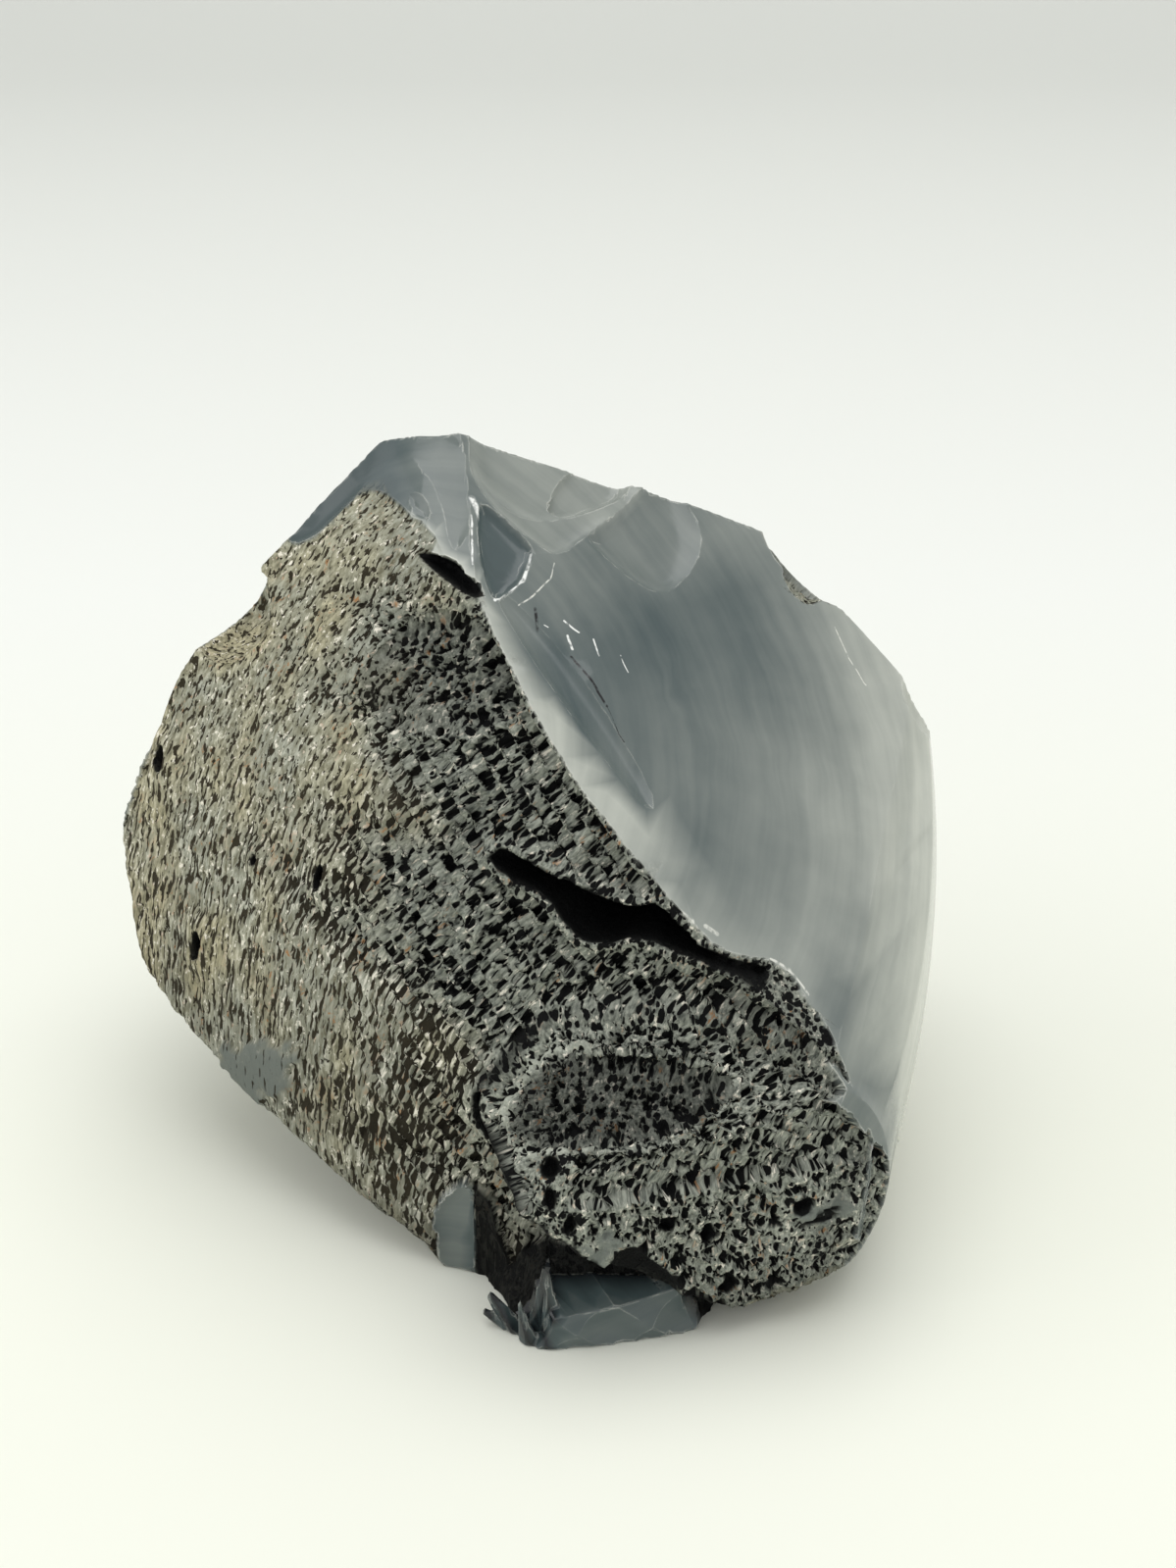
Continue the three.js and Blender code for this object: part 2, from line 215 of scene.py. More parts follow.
fissure = {
    "at": (14.2, -32, 57.7), "turn": -22, "tilt": 6, "deep": 15, "proud": 8, "innerScale": 0.5,
    "lip": 1.0,  # glass left between it and the big face
    "mouth": [  # in the view
        (497, 875), (508, 867), (529, 875), (554, 889), (580, 900), (605, 914), (643, 925), (669, 923),
        (694, 936), (717, 958), (736, 969), (752, 978), (771, 983), (784, 997), (779, 1009), (749, 994),
        (717, 981), (685, 970), (666, 960), (640, 956), (621, 964), (602, 962), (586, 955), (573, 940),
        (562, 922), (548, 909), (522, 898), (505, 885),
    ],
}
# glass splinters at the foot: middle of the root, half widths and height, lean
blades = [((2, -44.8, 0), (2.5, 2, 12.5), 4), ((-1.6, -43.4, 0), (1.9, 1.8, 8.5), -30),
          ((-2.6, -42.8, 0), (1.5, 1.5, 5.5), -52), ((0.2, -46, 0), (1.6, 1.5, 6.5), -10)]
# colour alone: places where the crust is rubbed smooth, with their outlines in the view
wornSeen = {
    "leftSpot": ("crustLeft", [
        (213, 1079), (225, 1064), (243, 1071), (252, 1056), (276, 1069), (288, 1062), (302, 1088),
        (289, 1098), (295, 1124), (270, 1119), (262, 1134), (234, 1116)]),
    "lipTip": ("lobeLow", [
        (608, 1303), (598, 1292), (597, 1275), (603, 1262), (618, 1255), (630, 1262), (632, 1275),
        (622, 1290)]),
    "endPatch": ("lobeLow", [
        (799, 1241), (812, 1229), (845, 1222), (884, 1217), (868, 1232), (852, 1244), (818, 1256)]),
}
# shell ripples of the big glass face: where the break began, distance between ripples, height
ripples = {"start": (-14.3, 36), "spacing": 3.9, "height": 0.015, "fade": 24}
# pore skin is coloured near black: painted shade in holes, the fissure, the crevice and on undersides in
# shade
skinCode = {"glass": 0.0, "crust": 1.0, "rough": 2.0, "pore": 3.0, "worn": 4.0}


def axesOf(turn, tilt, roll=0):  # columns: across, along, out
    turn, tilt, roll = (math.radians(a) for a in (turn, tilt, roll))
    across = np.array([math.cos(turn), math.sin(turn), 0])
    out = np.array([math.sin(turn) * math.cos(tilt), -math.cos(turn) * math.cos(tilt), math.sin(tilt)])
    along = np.cross(out, across)
    rolled = math.cos(roll) * across + math.sin(roll) * along
    return np.stack([rolled, np.cross(out, rolled), out], axis=1).astype(np.float32)


def localTo(points, at, turn, tilt, roll=0):
    return (points - np.array(at, np.float32)) @ axesOf(turn, tilt, roll)


def smoothStep(value, low, high):
    t = np.clip((value - low) / (high - low), 0, 1)
    return t * t * (3 - 2 * t)


def softMax(a, b, width):
    near = np.maximum(width - np.abs(a - b), 0) / width
    return np.maximum(a, b) + near * near * width / 4


def faceHeight(points, face):
    at, turn, tilt, bow, skin = face
    x, y, z = localTo(points, at, turn, tilt).T
    return z + (bow[0] * x * x + bow[1] * y * y) / shape["bowAt"] ** 2


def scarDepth(points, scar):
    at, turn, tilt, (halfWidth, halfHeight, depth), roll, skin = scar
    stretch = 1 / math.sqrt(1 - shape["centreOut"] ** 2)
    out = depth / (1 - shape["centreOut"])
    size = np.array([halfWidth * stretch, halfHeight * stretch, out], np.float32)
    centre = np.array([0, 0, shape["centreOut"] * out], np.float32)
    q = (localTo(points, at, turn, tilt, roll) - centre) / size
    length = np.maximum(np.linalg.norm(q, axis=1), 1e-4)
    slope = np.linalg.norm(q / size, axis=1) / length
    return (1 - length) / np.maximum(slope, 1e-4)


def rounded(outline):  # cuts every corner in four, so that a few points make a smooth outline
    corners = np.array(outline, np.float32)
    for turn in range(2):
        following = np.roll(corners, -1, axis=0)
        cut = [0.8 * corners + 0.2 * following, 0.2 * corners + 0.8 * following]
        corners = np.stack(cut, axis=1).reshape(-1, 2)
    return corners


def outlineDistance(x, y, outline):  # how far inside a closed outline each point lies
    distance = np.full(len(x), 1e9, np.float32)
    inside = np.zeros(len(x), bool)
    for (ax, ay), (bx, by) in zip(outline, np.roll(outline, -1, axis=0)):
        ex, ey = bx - ax, by - ay
        t = np.clip(((x - ax) * ex + (y - ay) * ey) / (ex * ex + ey * ey), 0, 1)
        distance = np.minimum(distance, np.hypot(x - ax - t * ex, y - ay - t * ey))
        inside ^= ((ay > y) != (by > y)) & (x < (bx - ax) * (y - ay) / (by - ay + 1e-9) + ax)
    return np.where(inside, distance, -distance)


def raysThrough(pixels):  # where the view's rays start, and which way each runs
    down = math.radians(view["down"])
    back = np.array([0, -math.cos(down), math.sin(down)])
    up = np.array([0, math.sin(down), math.cos(down)])
    across, tall = view["picture"]
    focal = view["lens"] / view["sensor"] * tall
    u, v = np.array(pixels, float).T
    runs = np.outer((u - across / 2) / focal, (1, 0, 0)) - np.outer((v - tall / 2) / focal, up) - back
    return view["aim"] + view["distance"] * back, runs / np.linalg.norm(runs, axis=1, keepdims=True)


def onFace(name, pixels):  # points of the view laid on a face, to a tenth of a millimetre
    at, turn, tilt, bow, skin = allFaces[name]
    axes = axesOf(turn, tilt).astype(float)
    start, runs = raysThrough(pixels)
    fall = 0
    for step in range(4):  # the face is bowed, so each step starts from the last one's place
        reach = ((at - start) @ axes[:, 2] - fall) / (runs @ axes[:, 2])
        x, y, z = ((start + reach[:, None] * runs - at) @ axes).T
        fall = (bow[0] * x * x + bow[1] * y * y) / shape["bowAt"] ** 2
    return np.round(np.stack([x, y], axis=1), 1)


def laidOut(seen):  # each piece starts with its face's name and ends with its outline
    return {name: (*piece[:-1], onFace(piece[0], piece[-1])) for name, piece in seen.items()}


def insideOutline(points, name, outline):  # how far inside an outline drawn on a face each point lies
    x, y, z = localTo(points, *allFaces[name][:3]).T
    low, high = np.min(outline, axis=0), np.max(outline, axis=0)
    wide = np.abs(2 * x - low[0] - high[0]) < high[0] - low[0] + 2 * shape["outlineMargin"]
    tall = np.abs(2 * y - low[1] - high[1]) < high[1] - low[1] + 2 * shape["outlineMargin"]
    result = np.full(len(points), shape["offOutline"], np.float32)
    near = np.where(wide & tall & (np.abs(z) < shape["outlineReach"]))[0]
    result[near] = outlineDistance(x[near], y[near], rounded(outline))
    return result


def flakeDepth(points, flake):
    name, depth, rim, skin, outline = flake
    inwards = insideOutline(points, name, outline)
    floor = np.where(inwards > 0, depth * (1 - np.exp(-np.maximum(inwards, 0) / rim)), 2 * inwards)
    return faceHeight(points, allFaces[name]) + floor


def fissureDepth(points):
    p = localTo(points, fissure["at"], fissure["turn"], fissure["tilt"])
    result = np.full(len(p), shape["offHole"], np.float32)
    near = np.where(np.linalg.norm(p, axis=1) < shape["fissureReach"])[0]
    x, y, z = p[near].T
    scale = 1 - (1 - fissure["innerScale"]) * np.clip(-z / fissure["deep"], 0, 1)
    flat = outlineDistance(x / scale, y / scale, fissureMouth) * scale
    name, depth, rim, skin, outline = flakes["ridgeNotch"]  # it breaks through where the ridge is broken away
    cover = fissure["lip"] * (1 - smoothStep(insideOutline(points[near], name, outline), 0, 0.8))
    lip = -faceHeight(points[near], bodyFaces["glassMain"]) - cover * (1 + np.clip(-z / 3, 0, 1.2))
    ends = np.minimum(z + fissure["deep"], fissure["proud"] - z)
    result[near] = np.minimum(np.minimum(flat, lip), ends)
    return result


def bladeHeight(points, blade):  # four-sided splinter
    at, size, lean = blade
    p = points - np.array(at, np.float32)
    lean = math.radians(lean)
    x = p[:, 0] * math.cos(lean) - p[:, 2] * math.sin(lean)
    z = p[:, 0] * math.sin(lean) + p[:, 2] * math.cos(lean)
    section = np.abs(x) / size[0] + np.abs(p[:, 1] + 0.3 * x) / size[1]
    return (section - 1 + 0.8 * z / size[2]) * 0.7 * min(size[:2])


def cutBy(points, faces):
    height = np.full(len(points), -1e3, np.float32)
    top = height.copy()
    skin = np.zeros(len(points), np.float32)
    for name, face in faces.items():
        h = faceHeight(points, face)
        if name in waves:
            h = h + waves[name](points)
        skin = np.where(h > top, skinCode[face[4]], skin)
        top = np.maximum(top, h)
        height = softMax(height, h, shape["ridge"] if face[4] == "glass" else shape["fold"])
    return height, skin


def mainWaves(points):
    x, y, z = localTo(points, *bodyFaces["glassMain"][:3]).T
    r = np.hypot(x - ripples["start"][0], y - ripples["start"][1])
    drift = 0.9 * np.sin(0.13 * y + 0.07 * x)
    beat = 0.6 + 0.4 * np.sin(0.37 * r + 0.11 * x)
    ring = np.sin(2 * math.pi * (r + drift) / ripples["spacing"]) * beat * np.exp(-(r / ripples["fade"]) ** 2)
    swell = 0.10 * np.sin(0.16 * x + 0.13 * y + 0.5) * np.cos(0.14 * y - 0.09 * x)
    return ripples["height"] * ring + swell


def slowWaves(points):  # and shell ripples on the faces behind
    x, y, z = points.T
    r = np.linalg.norm(points - np.array((4, 18, 97), np.float32), axis=1)
    phase = (r + 1.2 * np.sin(0.1 * x + 0.13 * z)) / 6.5
    ring = 0.06 * np.sin(2 * math.pi * phase) * (0.6 + 0.4 * np.sin(0.21 * r))
    swell = 0.10 * np.sin(0.42 * x + 0.31 * z) + 0.07 * np.sin(0.55 * y - 0.48 * z + 1)
    return swell + ring * smoothStep(y, 14, 26)


def crustWaves(points):  # uneven enough to make a ragged ridge, but not at the top edge
    x, y, z = points.T
    wave = 0.16 * np.sin(1.1 * x + 0.7 * z) * np.sin(0.9 * y - 1.3 * z) + 0.14 * np.sin(2.3 * z + 1.9 * x - y)
    return wave * smoothStep(-z, -88, -80)


def chipWaves(points):  # small shells knocked off the glass at the foot
    x, y, z = points.T
    return 0.5 * np.abs(np.sin(0.33 * x + 0.45 * z)) + 0.35 * np.abs(np.sin(0.6 * y - 0.5 * z + 0.2 * x))


waves = {"glassMain": mainWaves, "crustFront": crustWaves, "lobeFront": crustWaves, "lobeLow": crustWaves}
for glassFace in ("topLeft", "topMiddle", "backTop", "backLeftTop", "backLeft", "back", "backRight"):
    waves[glassFace] = slowWaves
for glassFace in ("lobeLip", "lobeBelly", "underFront", "footFront", "footLeft", "footRight", "footTop"):
    waves[glassFace] = chipWaves


def outsideOf(points):  # height above the stone with no holes, its skin, and depth in the gap along the lobe
    body, skin = cutBy(points, bodyFaces)
    lobe, lobeSkin = cutBy(points, {**lobeFaces, **{n: bodyFaces[n] for n in lobeShared}})
    skin = np.where(lobe < body, lobeSkin, skin)
    height = -softMax(-body, -lobe, shape["crease"])
    width, deep = shape["crevice"]
    along = smoothStep(-points[:, 0], -1, 4)  # the lobe's left side
    along = along * smoothStep(points[:, 2], 13, 17) * smoothStep(-points[:, 2], -33, -29)
    gap = np.minimum(width * along - np.abs(lobe - body) - (1 - along), deep * along + height)
    foot = cutBy(points, footFaces)[0]
    for blade in blades:
        foot = np.minimum(foot, bladeHeight(points, blade))
    for scar in scars.values():
        depth = scarDepth(points, scar)
        skin = np.where(depth > height, skinCode[scar[5]], skin)
        height = softMax(height, depth, 0.15)
    for flake in flakes.values():
        if flake[3] != "pore":
            depth = flakeDepth(points, flake)
            skin = np.where(depth > height, skinCode[flake[3]], skin)
            height = np.maximum(height, depth)
    skin = np.where(foot < height, skinCode["glass"], skin)
    return -softMax(-height, -foot, 0.3), skin, gap


def onStone(pixels):  # where the view's rays meet the stone, its holes left out
    start, runs = raysThrough(pixels)
    reach = np.full(len(pixels), float(view["nearest"]))
    for step in range(view["steps"]):
        height = outsideOf((start + reach[:, None] * runs).astype(np.float32))[0]
        reach = reach + 0.5 * height
    return start + reach[:, None] * runs


def mouthOf(pixels):  # the fissure's mouth across and along it, as wide as where it starts to narrow
    place = (onStone(pixels) - fissure["at"]) @ axesOf(fissure["turn"], fissure["tilt"]).astype(float)
    scale = 1 - (1 - fissure["innerScale"]) * np.clip(-place[:, 2] / fissure["deep"], 0, 1)
    return np.round(place[:, :2] / scale[:, None], 1).astype(np.float32)


def facingAt(name, pixel):  # the turn and tilt of a bowed face at one place
    at, turn, tilt, bow, skin = allFaces[name]
    lean = 2 * np.multiply(bow, onFace(name, [pixel])[0]) / shape["bowAt"] ** 2
    out = axesOf(turn, tilt) @ (*lean, 1)
    flat = math.hypot(out[0], out[1])
    return math.degrees(math.atan2(out[0], -out[1])), math.degrees(math.atan2(out[2], flat))


flakes = laidOut(flakesSeen)
wornSpots = laidOut(wornSeen)
fissureMouth = mouthOf(fissure["mouth"])
places = onStone([pore[1] for pore in poresSeen.values()])
pores = [(at, *facingAt(name, pixel), size, roll, "pore")
         for at, (name, pixel, size, roll) in zip(places, poresSeen.values())]


def stoneField(points):  # height above the stone, skin, height with no holes, and depth in the nearest hole
    outside, skin, gap = outsideOf(points)
    height = outside
    deepest = np.full(len(points), shape["offHole"], np.float32)
    holes = [gap] + [scarDepth(points, pore) for pore in pores]
    holes += [flakeDepth(points, flake) for flake in flakes.values() if flake[3] == "pore"]
    for depth in holes + [fissureDepth(points)]:
        skin = np.where(depth > height, skinCode["pore"], skin)
        height = softMax(height, depth, 0.2)
        deepest = np.maximum(deepest, depth)
    return np.maximum(height, -points[:, 2]), skin, outside, deepest


# small tools
def toLinear(hexColour):
    parts = [int(hexColour[i:i + 2], 16) / 255 for i in (1, 3, 5)]
    return [c / 12.92 if c <= 0.04045 else ((c + 0.055) / 1.055) ** 2.4 for c in parts] + [1]


def addNode(tree, kind, inputs=(), take=0, **settings):  # gives back the output that the next node reads
    made = tree.nodes.new(kind)
    for name, value in settings.items():
        setattr(made, name, value)
    for key, value in dict(inputs).items():
        if isinstance(value, bpy.types.NodeSocket):
            tree.links.new(value, made.inputs[key])
        else:
            made.inputs[key].default_value = value
    return made.outputs[take] if made.outputs else made


def placesOf(mesh):
    places = np.empty(len(mesh.vertices) * 3, np.float32)
    mesh.vertices.foreach_get("co", places)
    return places.reshape(-1, 3)


def storeValues(mesh, name, values):
    kind, field = ("FLOAT_VECTOR", "vector") if values.ndim == 2 else ("FLOAT", "value")
    layer = mesh.attributes.new(name, kind, "POINT")
    layer.data.foreach_set(field, np.ascontiguousarray(values, np.float32).ravel())


def newObject(name, mesh):
    made = bpy.data.objects.new(name, mesh)
    bpy.context.scene.collection.objects.link(made)
    return made


def bakedMesh(source):
    depsgraph = bpy.context.evaluated_depsgraph_get()
    return bpy.data.meshes.new_from_object(source.evaluated_get(depsgraph))


# the stone's mesh
def filledGrid():  # how full of stone each place on a grid round the CAD is
    step = shape["grid"]
    corners = np.array(cadBox) / mm + shape["middle"]
    low = corners[0] - 2 * step
    counts = np.ceil((corners[1] + 2 * step - low) / step).astype(int) + 1
    across, along, up = (low[k] + step * np.arange(counts[k]) for k in range(3))
    layers = []
    for z in np.array_split(up, max(1, len(up) // 8)):
        gridZ, gridY, gridX = np.meshgrid(z, along, across, indexing="ij")
        points = np.stack([gridX.ravel(), gridY.ravel(), gridZ.ravel()], axis=1).astype(np.float32)
        layers.append(np.clip(0.5 - stoneField(points)[0] / (4 * step), 0, 1))
    return low, counts, np.concatenate(layers)


def stoneTree(low, counts):  # the grid's values made a volume, then a skin, without its loose splinters
    tree = bpy.data.node_groups.new("stoneFromGrid", "GeometryNodeTree")
    tree.interface.new_socket(name="Geometry", in_out="INPUT", socket_type="NodeSocketGeometry")
    tree.interface.new_socket(name="Geometry", in_out="OUTPUT", socket_type="NodeSocketGeometry")
    samples = tree.nodes.new("NodeGroupInput").outputs[0]
    low = (low - shape["middle"]) * mm
    step = shape["grid"] * mm
    place = addNode(tree, "GeometryNodeInputPosition")
    cell = addNode(tree, "ShaderNodeVectorMath", {0: place, 1: low}, operation="SUBTRACT")
    cell = addNode(tree, "ShaderNodeVectorMath", {0: cell, 1: (step, step, step)}, operation="DIVIDE")
    cell = addNode(tree, "ShaderNodeVectorMath", {0: cell, 1: (0.5, 0.5, 0.5)}, operation="ADD")
    cell = addNode(tree, "ShaderNodeVectorMath", {0: cell}, operation="FLOOR")
    weights = (1, counts[0], counts[0] * counts[1])
    index = addNode(tree, "ShaderNodeVectorMath", {0: cell, 1: weights}, take="Value",
                    operation="DOT_PRODUCT")
    fill = addNode(tree, "GeometryNodeInputNamedAttribute", {"Name": "fill"}, data_type="FLOAT")
    density = addNode(tree, "GeometryNodeSampleIndex", {"Geometry": samples, "Value": fill, "Index": index},
                      data_type="FLOAT", domain="POINT")
    volume = addNode(tree, "GeometryNodeVolumeCube", {
        "Density": density, "Min": low, "Max": low + step * (counts - 1), "Resolution X": int(counts[0]),
        "Resolution Y": int(counts[1]), "Resolution Z": int(counts[2])})
    skin = addNode(tree, "GeometryNodeVolumeToMesh", {"Volume": volume, "Threshold": 0.5, "Adaptivity": 0.0},
                   resolution_mode="GRID")
    island = addNode(tree, "GeometryNodeInputMeshIsland")
    points = addNode(tree, "GeometryNodeAccumulateField", {"Value": 1.0, "Group ID": island}, take="Total",
                     data_type="FLOAT", domain="POINT")
    small = addNode(tree, "FunctionNodeCompare", {0: points, 1: shape["smallest"]}, operation="LESS_THAN")
    swept = addNode(tree, "GeometryNodeDeleteGeometry", {"Geometry": skin, "Selection": small})
    real = addNode(tree, "GeometryNodeRealizeInstances", {"Geometry": swept})
    addNode(tree, "NodeGroupOutput", {0: real})
    return tree


def fineBlank():
    low, counts, fill = filledGrid()
    mesh = bpy.data.meshes.new("blank")
    mesh.vertices.add(len(fill))
    storeValues(mesh, "fill", fill)
    blank = newObject("blank", mesh)
    blank.modifiers.new("stoneFromGrid", "NODES").node_group = stoneTree(low, counts)
    divided = blank.modifiers.new("divided", "SUBSURF")
    divided.subdivision_type = "SIMPLE"
    divided.levels = divided.render_levels = 1
    fine = bakedMesh(blank)
    bpy.data.objects.remove(blank)
    return fine


def settle(points):  # slides every point onto the true fracture faces
    step = 0.04
    for turn in range(3):
        height = stoneField(points)[0]
        slope = np.stack([(stoneField(points + step * axis)[0] - height) / step
                          for axis in np.eye(3, dtype=np.float32)], axis=1)
        steep = np.maximum((slope ** 2).sum(axis=1), 0.4)
        points = points - np.clip(height / steep, -0.7, 0.7)[:, None] * slope
    return points


fibres = {"curl": 0.0011, "fan": 0.0010, "stretch": 1.45}  # bubbles are drawn out, leaning right higher up
flowCentre = (-17, -27, 85)  # the smoke bands in the glass bend round this place
rind = 4.5  # the froth goes this deep into the faces broken behind it, mm


def paintedShadeOf(points, lobe):  # painted shade: darkens the creases and the hollows of the crust, the gap along the lobe, the upper front and the underside
    body = cutBy(points, bodyFaces)[0]
    crease = 0.35 + 0.5 * smoothStep(-points[:, 0], -6, 2)
    paintedShade = crease * np.exp(-((lobe - body) / 0.6) ** 2)
    for name, dark in (("crustPatch", 0.38), ("lobeHollow", 0.64), ("ridgeNotch", 0.3)):
        inwards = insideOutline(points, flakes[name][0], flakes[name][4])
        paintedShade = np.maximum(paintedShade, dark * smoothStep(inwards, -0.2, 1.5))
    side = faceHeight(points, lobeFaces["lobeLeft"])  # down in the gap along the lobe
    leftWall = smoothStep(side, -0.7, -0.2) * smoothStep(-lobe, -1.5, 0.5) * (points[:, 1] < -38)
    paintedShade = np.maximum(paintedShade, 0.7 * leftWall)
    # painted shade: the upper front a little darker
    paintedShade = np.maximum(paintedShade, 0.12 * smoothStep(points[:, 2], 35, 60) * smoothStep(points[:, 0], -24, -14))
    # painted shade underneath, and low on the left
    under = 0.45 * smoothStep(-points[:, 2], -13, -3)
    under = under + 0.25 * smoothStep(-points[:, 2], -50, -15) * smoothStep(-points[:, 0], 8, 30)
    return 1 - np.clip(np.maximum(paintedShade, under), 0, 0.92)


def litToneOf(points, flat):  # how pale the glass is, as painted reflection and light: dark in the middle, pale at thin edges and far right; painted shade on the dark triangle, the foot and the undercut
    x, y, z = points.T
    r = np.hypot(flat[:, 0] - ripples["start"][0], flat[:, 1] - ripples["start"][1])
    litTone = 0.33 + 0.37 * smoothStep(r, 34, 60) + 0.1 * smoothStep(flat[:, 1], 26, 34)
    litTone = litTone + 0.10 * smoothStep(-np.hypot(flat[:, 0] + 2, flat[:, 1] - 2), -22, -5)
    litTone = litTone - 0.16 * smoothStep(-x, 12, 20) * smoothStep(z, 82, 88)
    litTone = litTone - 0.12 * smoothStep(-flat[:, 1], -4, 12) * smoothStep(-np.abs(flat[:, 0] + 3), -16, -6)
    # painted shade: darker on the dark triangle
    litTone = litTone - 0.14 * smoothStep(insideOutline(points, "glassMain", flakes["darkTriangle"][4]), -0.3, 0.5)
    # painted light: a pale strip on the thin glass along the crust
    front = -faceHeight(points, bodyFaces["crustFront"])
    wide = np.clip(0.5 + 0.13 * (41 - flat[:, 1]), 0.5, 5)
    wide = wide + 0.25 * np.sin(0.9 * flat[:, 1]) * np.sin(0.31 * flat[:, 1])
    strip = smoothStep(-front, -wide - 0.5, -0.8 * wide) * (0.6 + 0.4 * smoothStep(flat[:, 1], -10, 6))
    litTone = litTone + 0.15 * smoothStep(insideOutline(points, "glassMain", flakes["scoop"][4]), -0.5, 0.5)
    litTone = np.maximum(litTone, 0.85 * strip)
    litTone = np.maximum(litTone, 0.95 * np.exp(-np.maximum(front, 0) / 0.7))
    # painted reflection: paler towards the right face
    side = faceHeight(points, bodyFaces["glassRight"])
    litTone = litTone + 0.25 * np.exp(np.minimum(side, 0) / 4.0)
    lobeSide = smoothStep(-y, 28, 32) * smoothStep(x, 36, 40)
    litTone = litTone + (0.45 - litTone) * lobeSide
    hidden = smoothStep(-z, -33, -25) * smoothStep(-x, -38, -34) * smoothStep(-y, 0, 10)  # painted shade on the foot and in the undercut
    # painted light: the foot's front and right are paler, in streaks
    foot = 0.34 * smoothStep(-y, 42, 44) * smoothStep(-z, -11, -8)
    stripes = 0.3 + 0.7 * smoothStep(np.sin(2.6 * x + 1.1 * z), -0.6, 0.6)
    foot = foot * (1 - smoothStep(-x, -4.5, -3.5) * stripes)
    foot = foot + 0.4 * smoothStep(-x, 6.6, 7.8) * smoothStep(y, -38, -36)
    return litTone * (1 - hidden) + foot * hidden


def wornOf(points):
    x, y, z = points.T
    ragged = 0.7 * np.sin(1.3 * x + 0.9 * z) + 0.5 * np.sin(2.1 * z - 1.7 * x + y)
    worn = np.zeros(len(points), np.float32)
    for name, outline in wornSpots.values():
        worn = np.maximum(worn, smoothStep(insideOutline(points, name, outline) + ragged, -0.6, 1.4))
    return worn


